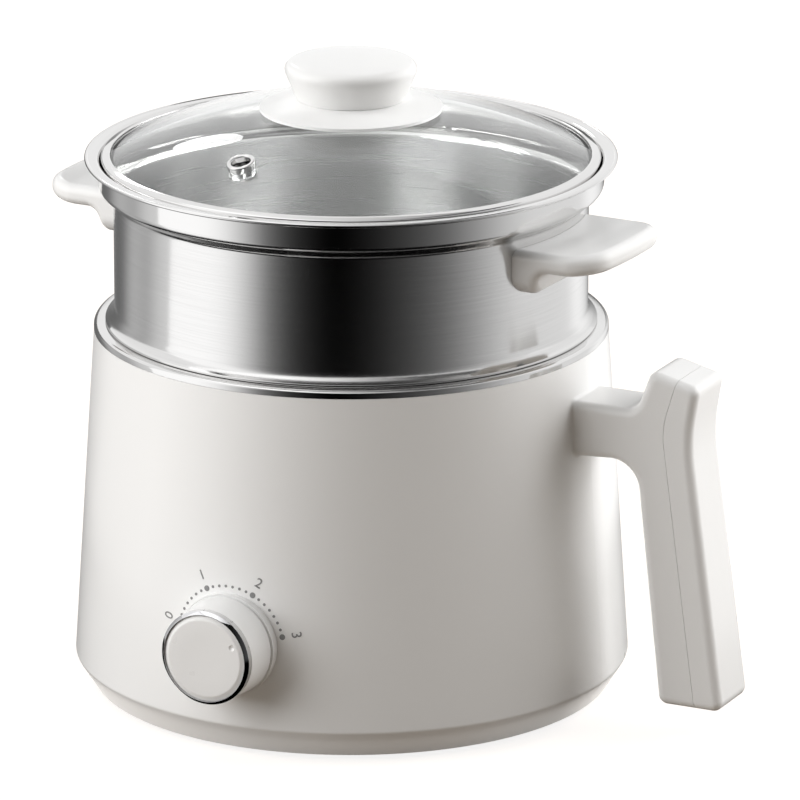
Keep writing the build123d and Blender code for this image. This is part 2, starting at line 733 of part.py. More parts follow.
with BuildPart() as dial_knob:
    body_depth = DIAL_DEPTH - DIAL_RING_DEPTH
    turned(
        (0, body_depth - DIAL_FRONT_WALL),
        (DIAL_R - DIAL_WALL, body_depth - DIAL_FRONT_WALL),
        (DIAL_BACK_R - DIAL_WALL, 0),
        (DIAL_BACK_R, 0),
        (DIAL_R, body_depth),
        (0, body_depth),
        about=dial_section(dial_back),
    )
    disc(dial_plane(dial_ring_back), DIAL_CAP_R, DIAL_RING_DEPTH - DIAL_CAP_THICKNESS)
    disc(dial_plane(hub_back), DIAL_HUB_R, dial_ring_back - hub_back)
    disc(dial_plane(hub_back), SHAFT_R, dial_ring_back - hub_back, mode=Mode.SUBTRACT)
finish(dial_knob, "dial_knob")

with BuildPart() as dial_ring:
    turned(
        (DIAL_CAP_R + FIT / 2, 0),
        (DIAL_RING_R, 0),
        (DIAL_RING_R, DIAL_RING_DEPTH - DIAL_BEVEL),
        (DIAL_CAP_R + FIT / 2, DIAL_RING_DEPTH),
        about=dial_section(dial_ring_back),
    )
finish(dial_ring, "dial_ring")

with BuildPart() as dial_cap:
    disc(dial_plane(dial_cap_seat), DIAL_CAP_R, DIAL_CAP_THICKNESS)
    fillet(dial_cap.faces().sort_by(Axis.Y)[0].edges(), DIAL_CAP_EDGE_R)
    with BuildSketch(dial_plane(dial_face - POINTER_DEPTH)):
        with PolarLocations(POINTER_CIRCLE_R, 1, start_angle=POINTER_ANGLE):
            Circle(POINTER_R)
    extrude(amount=POINTER_DEPTH, mode=Mode.SUBTRACT)
finish(dial_cap, "dial_cap")

with BuildPart() as dial_shaft:
    shaft_back = panel_back - SHAFT_SOCKET + FIT
    disc(dial_plane(shaft_back), SHAFT_R, dial_ring_back - shaft_back)
finish(dial_shaft, "dial_shaft")

# ================================================================ long handle
handle_top = RIM_HEIGHT - HANDLE_DROP
inner_x = rim_outer_r + ARM_REACH
notch = (inner_x, arm_top - ARM_TOP_FALL)
elbow = (inner_x, elbow_height)
horn_inner = (inner_x + HORN_LEAN, handle_top)
horn_outer = (horn_inner[0] + HORN_DEPTH, handle_top - HANDLE_TOP_FALL)
waist = (inner_x + WAIST_DEPTH, notch[1] - WAIST_DROP)
foot_inner = (inner_x + GRIP_LEAN, HANDLE_FOOT)
foot_outer = (foot_inner[0] + FOOT_DEPTH, HANDLE_FOOT)
seam_waist = (inner_x + SEAM_WAIST_DEPTH, notch[1] - SEAM_WAIST_DROP)
seam_top = (horn_inner[0] + SEAM_HORN_DEPTH, handle_top)
seam_foot = (foot_inner[0] + SEAM_FOOT_DEPTH, HANDLE_FOOT)


def grip_inner_x(z):
    """Where the grip's inner face stands at a height below the elbow."""
    return inner_x + GRIP_LEAN * (elbow_height - z) / (elbow_height - HANDLE_FOOT)


def handle_outline(inset=0.0):
    """Side view of the whole handle with its arm, or of what lies deeper than inset inside it."""
    with BuildSketch(Plane.XZ) as outline:
        with BuildLine():
            FilletPolyline(
                (rim_outer_r - ARM_ROOT, arm_top),
                notch,
                horn_inner,
                horn_outer,
                waist,
                foot_outer,
                foot_inner,
                elbow,
                (rim_outer_r - ARM_ROOT, arm_top - ARM_DEPTH),
                radius=[0, NOTCH_R, CORNER_R, CORNER_R, WAIST_R, CORNER_R, CORNER_R, ELBOW_R, 0],
                close=True,
            )
        make_face()
        if inset:
            offset(amount=-inset, kind=Kind.INTERSECTION)
    return outline.sketch


def handle_skin():
    """The whole handle as one hollow moulding, flared where its arm meets the housing."""
    with BuildPart(mode=Mode.PRIVATE) as skin:
        extrude(handle_outline(), amount=HANDLE_HALF_WIDTH, both=True)
        fillet(skin.faces().filter_by(Axis.Y).edges(), HANDLE_SOFTNESS)
        add(housing_outside)
        fillet(skin.edges(Select.NEW), ARM_FLARE_R)
        add(housing_outside, mode=Mode.SUBTRACT)
        inside = HANDLE_HALF_WIDTH - HANDLE_WALL
        extrude(handle_outline(HANDLE_WALL), amount=inside, both=True, mode=Mode.SUBTRACT)
    return skin.part


def grip_posts():
    """Screw posts that run through the grip from one wall to the other."""
    with BuildPart(mode=Mode.PRIVATE) as posts:
        for height in grip_screw_heights:
            disc(side_plane(inner_x, height), GRIP_POST_R, GRIP_LEAN + FOOT_DEPTH)
        extrude(
            handle_outline(HANDLE_WALL / 2),
            amount=HANDLE_HALF_WIDTH,
            both=True,
            mode=Mode.INTERSECT,
        )
    return posts.part


def behind_seam(shift):
    """The region on the housing's side of the seam, moved outwards by shift."""
    reach = rim_outer_r - 2 * ARM_ROOT
    with BuildSketch(Plane.XZ) as region:
        with BuildLine():
            FilletPolyline(
                (reach, handle_top + SEAM_OVERRUN),
                (seam_top[0] + shift + HORN_LEAN / 2, handle_top + SEAM_OVERRUN),
                (seam_waist[0] + shift, seam_waist[1]),
                (seam_foot[0] + shift, HANDLE_FOOT),
                (seam_foot[0] + shift, HANDLE_FOOT - SEAM_OVERRUN),
                (reach, HANDLE_FOOT - SEAM_OVERRUN),
                radius=[0, 0, SEAM_R, 0, 0, 0],
                close=True,
            )
        make_face()
    return extrude(region.sketch, amount=2 * HANDLE_HALF_WIDTH, both=True, mode=Mode.PRIVATE)


def shell_of(shift, keep):
    """One shell of the handle: its share of the skin, and its half of the posts with their holes."""
    with BuildPart(mode=Mode.PRIVATE) as posts:
        add(grip_posts())
        add(behind_seam(SEAM_GAP), mode=keep)
    with BuildPart(mode=Mode.PRIVATE) as shell:
        add(handle_skin())
        add(behind_seam(shift), mode=keep)
        add(posts.part)
        for height in grip_screw_heights:
            seat_x = grip_inner_x(height) + GRIP_SCREW_SINK
            seat = side_plane(seat_x, height)
            disc(seat, SCREW_HEAD_R + FIT, -2 * GRIP_SCREW_SINK, mode=Mode.SUBTRACT)
            disc(seat, SCREW_R + FIT / 2, GRIP_SCREW_LENGTH, mode=Mode.SUBTRACT)
    return shell.part


with BuildPart() as handle_inner_shell:
    add(shell_of(0, Mode.INTERSECT))
    with BuildPart(mode=Mode.PRIVATE) as arm_posts:
        post_length = ARM_SCREW_LENGTH + HANDLE_WALL
        for height in arm_screw_heights:
            disc(side_plane(backing_back, height), ARM_POST_R, post_length)
        # web that ties the posts to the arm's walls
        web_plane = side_plane(backing_back, arm_middle)
        block(web_plane, ARM_WEB_THICKNESS, ARM_DEPTH - HANDLE_WALL, post_length)
        add(housing_outside, mode=Mode.SUBTRACT)
    add(arm_posts.part)
    for height in arm_screw_heights:
        hole = side_plane(backing_back, height)
        disc(hole, SCREW_R + FIT / 2, ARM_SCREW_LENGTH, mode=Mode.SUBTRACT)
finish(handle_inner_shell, "handle_inner_shell")

with BuildPart() as handle_outer_shell:
    add(shell_of(SEAM_GAP, Mode.SUBTRACT))
finish(handle_outer_shell, "handle_outer_shell")

with BuildPart() as handle_shell_screws:
    for height in grip_screw_heights:
        seat = Plane((grip_inner_x(height) + GRIP_SCREW_SINK, 0, height), z_dir=(-1, 0, 0))
        pan_screw(seat, GRIP_SCREW_LENGTH)
finish(handle_shell_screws, "handle_shell_screws")

with BuildPart() as arm_backing_plate:
    backing_plane = side_plane(backing_back, arm_middle)
    block(backing_plane, 2 * BACKING_HALF_WIDTH, backing_tall, BACKING_THICKNESS)
    for height in arm_screw_heights:
        disc(side_plane(backing_back, height), SCREW_R + FIT, BACKING_THICKNESS, mode=Mode.SUBTRACT)
finish(arm_backing_plate, "arm_backing_plate")

with BuildPart() as arm_screws:
    for height in arm_screw_heights:
        pan_screw(Plane((backing_back, 0, height), z_dir=(-1, 0, 0)), ARM_SCREW_LENGTH)
finish(arm_screws, "arm_screws")

# ================================================================ power inlet
socket_mouth = inlet_face + INLET_FLANGE_THICKNESS
socket_floor = socket_mouth - INLET_SOCKET_DEPTH
line_pin_z = INLET_HEIGHT + PIN_RAISE - PIN_STEP / 2
earth_pin_z = line_pin_z + PIN_STEP
pin_places = [
    (-PIN_SPACING / 2, line_pin_z),
    (PIN_SPACING / 2, line_pin_z),
    (0, earth_pin_z),
]

with BuildPart() as power_inlet:
    block(
        inlet_plane(inlet_face),
        inlet_flange_width,
        inlet_flange_tall,
        INLET_FLANGE_THICKNESS,
        corner=INLET_CORNER_R,
    )
    block(inlet_plane(inlet_face), INLET_WIDTH, INLET_TALL, -INLET_DEPTH, corner=INLET_CORNER_R)
    block(
        inlet_plane(socket_floor),
        INLET_WIDTH - 2 * INLET_WALL,
        INLET_TALL - 2 * INLET_WALL,
        INLET_SOCKET_DEPTH,
        corner=INLET_WALL,
        mode=Mode.SUBTRACT,
    )
    for x, z in pin_places:
        block(
            inlet_plane(socket_floor, x, z),
            PIN_WIDTH + FIT,
            PIN_TALL + FIT,
            -INLET_DEPTH,
            mode=Mode.SUBTRACT,
        )
finish(power_inlet, "power_inlet")

pin_back = inlet_face - INLET_DEPTH - PIN_TAIL
with BuildPart() as inlet_pins:
    for x, z in pin_places:
        block(
            inlet_plane(pin_back, x, z), PIN_WIDTH, PIN_TALL, socket_floor + PIN_LENGTH - pin_back
        )
finish(inlet_pins, "inlet_pins")

# ================================================================ control board and leads
with BuildPart() as control_board:
    with BuildSketch(Plane.XY.offset(board_bottom)):
        with Locations((0, -board_offset)):
            Rectangle(BOARD_LENGTH, BOARD_WIDTH)
        with Locations(*board_screw_spots):
            Circle(BOARD_SCREW_R + FIT, mode=Mode.SUBTRACT)
    extrude(amount=BOARD_THICKNESS)
finish(control_board, "control_board")

with BuildPart() as board_screws:
    for spot in board_screw_spots:
        seat = Plane(spot.position + Vector(0, 0, board_top))
        pan_screw(seat, BOARD_SCREW_LENGTH, shank_r=BOARD_SCREW_R, head_r=BOARD_SCREW_HEAD_R)
finish(board_screws, "board_screws")

with BuildPart() as board_parts:
    middle = Plane((0, PART_ROW - board_offset, board_top))
    with Locations(middle.offset(RELAY[2] / 2)):
        Box(*RELAY)
    with Locations(middle.offset(CAPACITOR_HEIGHT / 2) * Pos(-PART_SPREAD, 0)):
        Cylinder(CAPACITOR_R, CAPACITOR_HEIGHT)
    with Locations(middle.offset(SINK[2] / 2) * Pos(PART_SPREAD, 0)):
        Box(*SINK)
finish(board_parts, "board_parts")

mains_lead_y = -board_offset + BOARD_WIDTH / 2 - BOARD_EDGE

with BuildPart() as live_lead:
    lead(
        (-PIN_SPACING / 2, pin_back, line_pin_z),
        (-PIN_SPACING / 2, pin_back - LEAD_STRAIGHT, line_pin_z),
        (-MAINS_LEAD_X, MAINS_LEAD_X, board_top + LEAD_RISE),
        (-MAINS_LEAD_X, mains_lead_y, board_top + LEAD_RISE),
        (-MAINS_LEAD_X, mains_lead_y, board_top),
    )
finish(live_lead, "live_lead")

with BuildPart() as neutral_lead:
    lead(
        (PIN_SPACING / 2, pin_back, line_pin_z),
        (PIN_SPACING / 2, pin_back - LEAD_STRAIGHT, line_pin_z),
        (MAINS_LEAD_X, MAINS_LEAD_X, board_top + LEAD_RISE),
        (MAINS_LEAD_X, mains_lead_y, board_top + LEAD_RISE),
        (MAINS_LEAD_X, mains_lead_y, board_top),
    )
finish(neutral_lead, "neutral_lead")

with BuildPart() as earth_lead:
    lead(
        (0, pin_back, earth_pin_z),
        (0, pin_back - LEAD_STRAIGHT, earth_pin_z),
        (EARTH_LEAD_X, EARTH_LEAD_Y, shield_bottom - LEAD_RISE),
        (EARTH_LEAD_X, EARTH_LEAD_Y, shield_bottom),
    )
finish(earth_lead, "earth_lead")

with BuildPart() as heater_leads:
    for tail, side in zip(element_tails, (-1, 1)):
        board_x = side * HEATER_LEAD_SPREAD / 2
        board_y = tail.Y - HEATER_LEAD_SETBACK
        lead(
            (tail.X, tail.Y, tail.Z - ELEMENT_TAIL),
            (tail.X, tail.Y, board_top + 2 * LEAD_RISE),
            (board_x, board_y, board_top + LEAD_RISE),
            (board_x, board_y, board_top),
        )
finish(heater_leads, "heater_leads")

with BuildPart() as dial_leads:
    terminal_y = -(panel_back - CONTROL_DEPTH / 2)
    board_end_y = -board_offset - BOARD_WIDTH / 2 + BOARD_EDGE
    for x in (-TERMINAL_PITCH, 0, TERMINAL_PITCH):
        lead(
            (x, terminal_y, DIAL_HEIGHT - CONTROL_SIDE / 2),
            (x, terminal_y, board_top + LEAD_RISE),
            (x, board_end_y, board_top + LEAD_RISE),
            (x, board_end_y, board_top),
        )
finish(dial_leads, "dial_leads")

# ================================================================ steamer
with BuildPart() as steamer_body:
    bead_centre_r = collar_r + LIP_WIDTH - LIP_BEAD_R
    steamer_sheet = sheet_section(
        [
            (steamer_r, steamer_bottom),
            (steamer_r, step_bottom),
            (collar_r, step_top),
            (collar_r, lip_bottom),
            (bead_centre_r, lip_bottom),
        ],
        [STEP_BEND_R, STEP_BEND_R, LIP_BEND_R],
        STEAMER_SHEET,
        Side.LEFT,
    )
    with BuildSketch(Plane.XZ) as steamer_section:
        add(steamer_sheet.sketch_local)
        # hem that hangs the steamer on the pot's rim, flaring up into the wall
        with BuildLine():
            hem_inner_r = steamer_r - STEAMER_SHEET / 2
            flare_top = hem_top + HEM_FLARE_R
            Polyline(
                (steamer_r, flare_top),
                (hem_inner_r, flare_top),
                (hem_inner_r, hem_bottom),
                (steamer_r + HEM_WIDTH, hem_bottom),
                (steamer_r + HEM_WIDTH, hem_top),
            )
            TangentArc((steamer_r, flare_top), (steamer_r + HEM_WIDTH, hem_top), tangent=(0, -1))
        make_face()
        # bead rolled round the lip's edge
        with Locations((bead_centre_r, lip_bottom + STEAMER_SHEET / 2)):
            Circle(LIP_BEAD_R)
    revolve(steamer_section.sketch, axis=Axis.Z)
finish(steamer_body, "steamer_body")

with BuildPart() as steam_plate:
    steam_plate_r = steamer_r - STEAMER_SHEET - FIT / 2
    steam_plate_top = steamer_bottom + STEAM_PLATE_RISE
    plate_section = sheet_section(
        [(0, steam_plate_top), (steam_plate_r, steam_plate_top), (steam_plate_r, steamer_bottom)],
        [STEAM_PLATE_BEND_R],
        STEAM_PLATE_SHEET,
        Side.RIGHT,
    )
    revolve(plate_section.sketch, axis=Axis.Z)
    with BuildSketch(Plane.XY.offset(steam_plate_top)):
        Circle(STEAM_HOLE_R)
        for ring in range(1, STEAM_RINGS + 1):
            with PolarLocations(ring * STEAM_RING_PITCH, ring * STEAM_RING_STEP):
                Circle(STEAM_HOLE_R)
    extrude(amount=-STEAM_PLATE_SHEET, mode=Mode.SUBTRACT)
finish(steam_plate, "steam_plate")

# ================================================================ ears
ear_top = step_bottom - EAR_BELOW_STEP
ear_bottom = ear_top - EAR_THICKNESS
ear_seat_r = steamer_r + FIT / 2
tongue_bottom = ear_top - EAR_THICKNESS / 2 - BRACKET_SHEET / 2
nose_x = steamer_r + EAR_REACH
root_x = steamer_r - EAR_ROOT_INSIDE
bend_x = steamer_r + EAR_FLAT


def bracket(grow):
    """The steel angle on the steamer's wall that an ear slides over, larger all round by grow."""
    half = BRACKET_HALF_WIDTH + grow
    with BuildPart(mode=Mode.PRIVATE) as angle:
        with BuildSketch(Plane.XY.offset(tongue_bottom - BRACKET_LEG - grow)):
            Circle(ear_seat_r + BRACKET_SHEET + grow)
            Circle(ear_seat_r, mode=Mode.SUBTRACT)
            with Locations((nose_x / 2, 0)):
                Rectangle(nose_x, 2 * half, mode=Mode.INTERSECT)
        extrude(amount=BRACKET_LEG + BRACKET_SHEET + 2 * grow)
        with BuildSketch(Plane.XY.offset(tongue_bottom - grow)):
            with Locations(((root_x + steamer_r + BRACKET_TONGUE + grow) / 2, 0)):
                Rectangle(steamer_r + BRACKET_TONGUE + grow - root_x, 2 * half)
            Circle(ear_seat_r, mode=Mode.SUBTRACT)
        extrude(amount=BRACKET_SHEET + 2 * grow)
    return angle.part


def ear_screw_seat():
    """Plane under the ear on which its screw's head bears, facing down."""
    return Plane(
        (steamer_r + EAR_SCREW_OFFSET, 0, ear_bottom + EAR_SCREW_SINK), z_dir=(0, 0, -1)
    )


with BuildPart() as ear_shape:
    plate_x = steamer_r + EAR_ROOT_THICKNESS
    plate_bottom_z = ear_top - EAR_ROOT_HEIGHT
    # side view: the ear with the plate that bears on the wall below it
    with BuildSketch(Plane.XZ) as side_view:
        with BuildLine():
            FilletPolyline(
                (root_x, ear_top),
                (bend_x, ear_top),
                (nose_x, ear_top + EAR_UPTURN),
                (nose_x, ear_bottom + EAR_UPTURN),
                (bend_x, ear_bottom),
                (plate_x, ear_bottom),
                (plate_x, plate_bottom_z),
                (root_x, plate_bottom_z),
                radius=[0, EAR_UPTURN_R, 0, 0, EAR_UPTURN_R, EAR_ROOT_BEND_R, 0, 0],
                close=True,
            )
        make_face()
    extrude(side_view.sketch, amount=EAR_HALF_WIDTH, both=True)
    fillet(ear_shape.edges().filter_by(Axis.X).group_by(Axis.Z)[0], EAR_ROOT_CORNER_R)
    # plan: a bowed nose with rounded corners
    with BuildSketch(Plane.XY) as plan:
        with BuildLine():
            corner_x = nose_x - EAR_NOSE_BOW
            Polyline(
                (corner_x, -EAR_HALF_WIDTH),
                (root_x, -EAR_HALF_WIDTH),
                (root_x, EAR_HALF_WIDTH),
                (corner_x, EAR_HALF_WIDTH),
            )
            ThreePointArc(
                (corner_x, EAR_HALF_WIDTH), (nose_x, 0), (corner_x, -EAR_HALF_WIDTH)
            )
        make_face()
        fillet(plan.vertices().group_by(Axis.X)[-1], EAR_CORNER_R)
    extrude(plan.sketch, amount=lip_top, mode=Mode.INTERSECT)
    outer_edges = ear_shape.edges().filter_by(lambda edge: edge.center().X > root_x + OVERRUN)
    plate_edges = outer_edges.filter_by(lambda edge: edge.center().Z < ear_bottom)
    slab_edges = outer_edges.filter_by(lambda edge: edge.center().Z >= ear_bottom)
    fillet(plate_edges + slab_edges.filter_by(Axis.Z, reverse=True), EAR_SOFTNESS)
    wall_foot = Plane.XY.offset(ear_top - 2 * EAR_ROOT_HEIGHT)
    disc(wall_foot, ear_seat_r, 4 * EAR_ROOT_HEIGHT, mode=Mode.SUBTRACT)
    add(bracket(FIT), mode=Mode.SUBTRACT)
    disc(ear_screw_seat(), SCREW_HEAD_R + FIT, 2 * EAR_SCREW_SINK, mode=Mode.SUBTRACT)
    disc(ear_screw_seat(), EAR_SCREW_R + FIT, -EAR_THICKNESS / 2, mode=Mode.SUBTRACT)

with BuildPart() as ear_right:
    add(ear_shape.part, rotation=(0, 0, EAR_TURN))
finish(ear_right, "ear_right")

with BuildPart() as ear_left:
    add(ear_shape.part, rotation=(0, 0, EAR_TURN + 180))
finish(ear_left, "ear_left")

with BuildPart() as ear_brackets:
    for half_turn in (0, 180):
        add(bracket(0), rotation=(0, 0, EAR_TURN + half_turn))
finish(ear_brackets, "ear_brackets")

with BuildPart() as ear_screws:
    with BuildPart(mode=Mode.PRIVATE) as ear_screw:
        screw_reach = tongue_bottom - ear_bottom - EAR_SCREW_SINK
        pan_screw(ear_screw_seat(), screw_reach, shank_r=EAR_SCREW_R)
    for half_turn in (0, 180):
        add(ear_screw.part, rotation=(0, 0, EAR_TURN + half_turn))
finish(ear_screws, "ear_screws")

# ================================================================ lid
vent_r = sqrt(STEAM_VENT_X**2 + STEAM_VENT_Y**2)
vent_normal = Vector(
    STEAM_VENT_X, STEAM_VENT_Y, dome_height(vent_r) - (dome_apex - dome_r)
).normalized()
vent_point = Vector(STEAM_VENT_X, STEAM_VENT_Y, dome_height(vent_r))
vent_side = vent_normal.cross(Vector(0, 0, 1)).normalized()
vent_section = Plane(vent_point, x_dir=vent_side, z_dir=vent_side.cross(vent_normal))
vent_across = Plane(vent_point, x_dir=vent_side, z_dir=vent_normal)

with BuildPart() as lid_glass:
    with BuildSketch(Plane.XZ) as pane:
        with BuildLine():
            dome_line(GLASS_HOLE_R, glass_r)
            Polyline(
                (glass_r, dome_height(glass_r)),
                (glass_r, dome_height(glass_r, GLASS_THICKNESS)),
            )
            dome_line(glass_r, GLASS_HOLE_R, GLASS_THICKNESS)
            Polyline(
                (GLASS_HOLE_R, dome_height(GLASS_HOLE_R, GLASS_THICKNESS)),
                (GLASS_HOLE_R, dome_height(GLASS_HOLE_R)),
            )
        make_face()
    revolve(pane.sketch, axis=Axis.Z)
    disc(vent_across, EYELET_TUBE_R + FIT, -2 * GLASS_THICKNESS, mode=Mode.SUBTRACT)
finish(lid_glass, "lid_glass")

with BuildPart() as lid_band:
    lip_r = band_r - BAND_SHEET - BAND_LIP
    glass_foot = dome_height(glass_r, GLASS_THICKNESS)
    band_section = sheet_section(
        [
            (lip_r, dome_height(lip_r) + BAND_SHEET + FIT),
            (band_r, dome_height(glass_r) + BAND_SHEET + FIT),
            (band_r, step_top + LID_SEAT),
        ],
        [BAND_BEND_R],
        BAND_SHEET,
        Side.RIGHT,
    )
    revolve(band_section.sketch, axis=Axis.Z)
    turned(
        (lip_r, glass_foot - BAND_SHEET),
        (band_r - BAND_SHEET / 2, glass_foot - BAND_SHEET),
        (band_r - BAND_SHEET / 2, glass_foot),
        (lip_r, glass_foot),
    )
finish(lid_band, "lid_band")

with BuildPart() as steam_vent:
    eyelet_under = GLASS_THICKNESS + FIT
    turned(
        (EYELET_BORE_R, -eyelet_under - EYELET_FOOT),
        (EYELET_R, -eyelet_under - EYELET_FOOT),
        (EYELET_R, -eyelet_under),
        (EYELET_TUBE_R, -eyelet_under),
        (EYELET_TUBE_R, 0),
        (EYELET_R, 0),
        (EYELET_R, EYELET_RISE),
        (EYELET_MOUTH_R, EYELET_RISE),
        (EYELET_BORE_R, 0),
        about=vent_section,
    )
    fillet(
        steam_vent.edges()
        .filter_by(GeomType.CIRCLE)
        .filter_by(lambda edge: (edge.arc_center - vent_point).dot(vent_normal) > EYELET_RISE / 2),
        EYELET_RISE / 4,
    )
finish(steam_vent, "steam_vent")

neck_height = dome_apex + KNOB_NECK_RISE

with BuildPart() as knob_base:
    with BuildSketch(Plane.XZ) as base_section:
        with BuildLine():
            dome_line(GLASS_HOLE_R, KNOB_BASE_R)
            Polyline(
                (KNOB_BASE_R, dome_height(KNOB_BASE_R)),
                (KNOB_BASE_R, dome_height(KNOB_BASE_R) + KNOB_BASE_EDGE),
                (KNOB_NECK_R, neck_height),
                (KNOB_SCREW_R + FIT, neck_height),
                (KNOB_SCREW_R + FIT, dome_apex - GLASS_THICKNESS / 2),
                (KNOB_SPIGOT_R, dome_apex - GLASS_THICKNESS / 2),
                (KNOB_SPIGOT_R, dome_height(GLASS_HOLE_R)),
                (GLASS_HOLE_R, dome_height(GLASS_HOLE_R)),
            )
        make_face()
    revolve(base_section.sketch, axis=Axis.Z)
finish(knob_base, "knob_base")

with BuildPart() as lid_knob:
    knob_top = neck_height + KNOB_HEIGHT
    knob_edge = (KNOB_R, knob_top - KNOB_CROWN)
    with BuildSketch(Plane.XZ) as knob_section:
        with BuildLine():
            Polyline((0, knob_top), (0, neck_height), (KNOB_NECK_R, neck_height), knob_edge)
            TangentArc((0, knob_top), knob_edge, tangent=(1, 0))
        make_face()
        fillet(knob_section.vertices().sort_by(Axis.X)[-1], KNOB_EDGE_R)
    revolve(knob_section.sketch, axis=Axis.Z)
    disc(Plane.XY.offset(neck_height), KNOB_SCREW_R, KNOB_SCREW_BITE, mode=Mode.SUBTRACT)
finish(lid_knob, "lid_knob")

washer_under = GLASS_THICKNESS + WASHER_THICKNESS
screw_seat = dome_height(KNOB_SCREW_HEAD_R, washer_under)

with BuildPart() as knob_washer:
    with BuildSketch(Plane.XZ) as washer_section:
        with BuildLine():
            washer_hole_r = KNOB_SCREW_R + FIT
            washer_top = dome_line(washer_hole_r, WASHER_R, GLASS_THICKNESS)
            washer_bottom = dome_line(WASHER_R, washer_hole_r, washer_under)
            Polyline(washer_top @ 1, washer_bottom @ 0)
            Polyline(washer_bottom @ 1, washer_top @ 0)
        make_face()
    revolve(washer_section.sketch, axis=Axis.Z)
finish(knob_washer, "knob_washer")

with BuildPart() as knob_screw:
    pan_screw(
        Plane((0, 0, screw_seat), z_dir=(0, 0, -1)),
        neck_height + KNOB_SCREW_BITE - screw_seat,
        shank_r=KNOB_SCREW_R,
        head_r=KNOB_SCREW_HEAD_R,
        head=KNOB_SCREW_HEAD,
    )
finish(knob_screw, "knob_screw")
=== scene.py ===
from math import asin, ceil, cos, degrees, inf, pi, radians, sin, sqrt

import bpy
from bpy.props import FloatProperty, FloatVectorProperty, IntProperty, PointerProperty
from bpy.types import NodeSocket, Operator, Panel, PropertyGroup
from mathutils import Matrix, Vector


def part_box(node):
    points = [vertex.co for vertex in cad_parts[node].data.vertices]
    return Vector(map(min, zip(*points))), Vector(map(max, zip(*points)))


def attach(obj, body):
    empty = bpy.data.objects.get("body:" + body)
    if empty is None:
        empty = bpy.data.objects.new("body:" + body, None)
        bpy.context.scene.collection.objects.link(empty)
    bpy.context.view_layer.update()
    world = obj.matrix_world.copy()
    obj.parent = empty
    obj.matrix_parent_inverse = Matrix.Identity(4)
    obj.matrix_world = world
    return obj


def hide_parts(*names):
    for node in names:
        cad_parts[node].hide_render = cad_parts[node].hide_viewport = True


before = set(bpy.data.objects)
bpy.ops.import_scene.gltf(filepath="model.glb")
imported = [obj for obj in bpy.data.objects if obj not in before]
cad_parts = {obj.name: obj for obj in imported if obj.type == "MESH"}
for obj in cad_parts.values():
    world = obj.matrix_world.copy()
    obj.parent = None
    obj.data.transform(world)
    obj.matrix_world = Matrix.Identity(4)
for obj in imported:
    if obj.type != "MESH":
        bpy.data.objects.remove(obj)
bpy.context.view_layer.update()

bl_info = {
    "name": "Electric hot pot",
    "version": (1, 0, 0),
    "blender": (4, 5, 0),
    "location": "3D View > Sidebar > Hot Pot",
    "description": "Models and finishes an electric hot pot with a steamer and a glass lid",
    "category": "Object",
}

MM = 0.001  # every length is in metres


def cad_radius(node):
    """Largest radius of a round CAD node, about the pot's axis or the dial's."""
    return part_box(node)[1][0]


def cad_foot(node):
    """Lowest height of a CAD node."""
    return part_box(node)[0][2]


def cad_top(node):
    """Highest height of a CAD node."""
    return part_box(node)[1][2]


# ---------------------------------------------------------------- values a user would change
def length(name, description, default):
    """A size in metres."""
    return FloatProperty(
        name=name, description=description, default=default, unit="LENGTH", precision=4
    )


def angle(name, description, default):
    """An angle, whose default is given in degrees."""
    return FloatProperty(
        name=name, description=description, default=radians(default), subtype="ANGLE"
    )


def factor(name, description, default):
    """A share from 0 to 1."""
    return FloatProperty(
        name=name, description=description, default=default, min=0, max=1, subtype="FACTOR"
    )


def colour(name, description, default):
    """A surface colour without its alpha."""
    return FloatVectorProperty(
        name=name, description=description, default=default, subtype="COLOR", min=0, max=1
    )


class HotPotSizes(PropertyGroup):
    """Sizes of the pieces that are modelled here."""

    sides: IntProperty(
        name="Sides", description="Sides of each turned piece", default=192, min=24, max=512
    )
    sheet: length("Sheet", "Thickness of the pot's and steamer's steel", 0.8 * MM)
    rim_width: length("Rim width", "From the pot's inner wall to the rim's edge", 6.1 * MM)
    hem_width: length("Hem width", "How far the steamer's hem stands out", 3.3 * MM)
    step_width: length("Step width", "How far the steamer widens to its collar", 5.5 * MM)
    lip_width: length("Lip width", "From the collar to the lip's edge", 4.8 * MM)
    band_lip: length("Band lip", "How far the lid's band laps over the glass", 2.6 * MM)
    knob_edge: length("Knob edge", "Rounding of the lid knob's top edge", 3.2 * MM)
    dial_bevel: length("Dial bevel", "Bevel round the dial ring's front edge", 1.15 * MM)
    dot: length("Dot", "Radius of a small dot of the dial's scale", 0.52 * MM)
    big_dot: length("Big dot", "Radius of a numbered dot of the dial's scale", 1.05 * MM)
    figure: length("Figure", "Height of a figure of the dial's scale", 5.2 * MM)


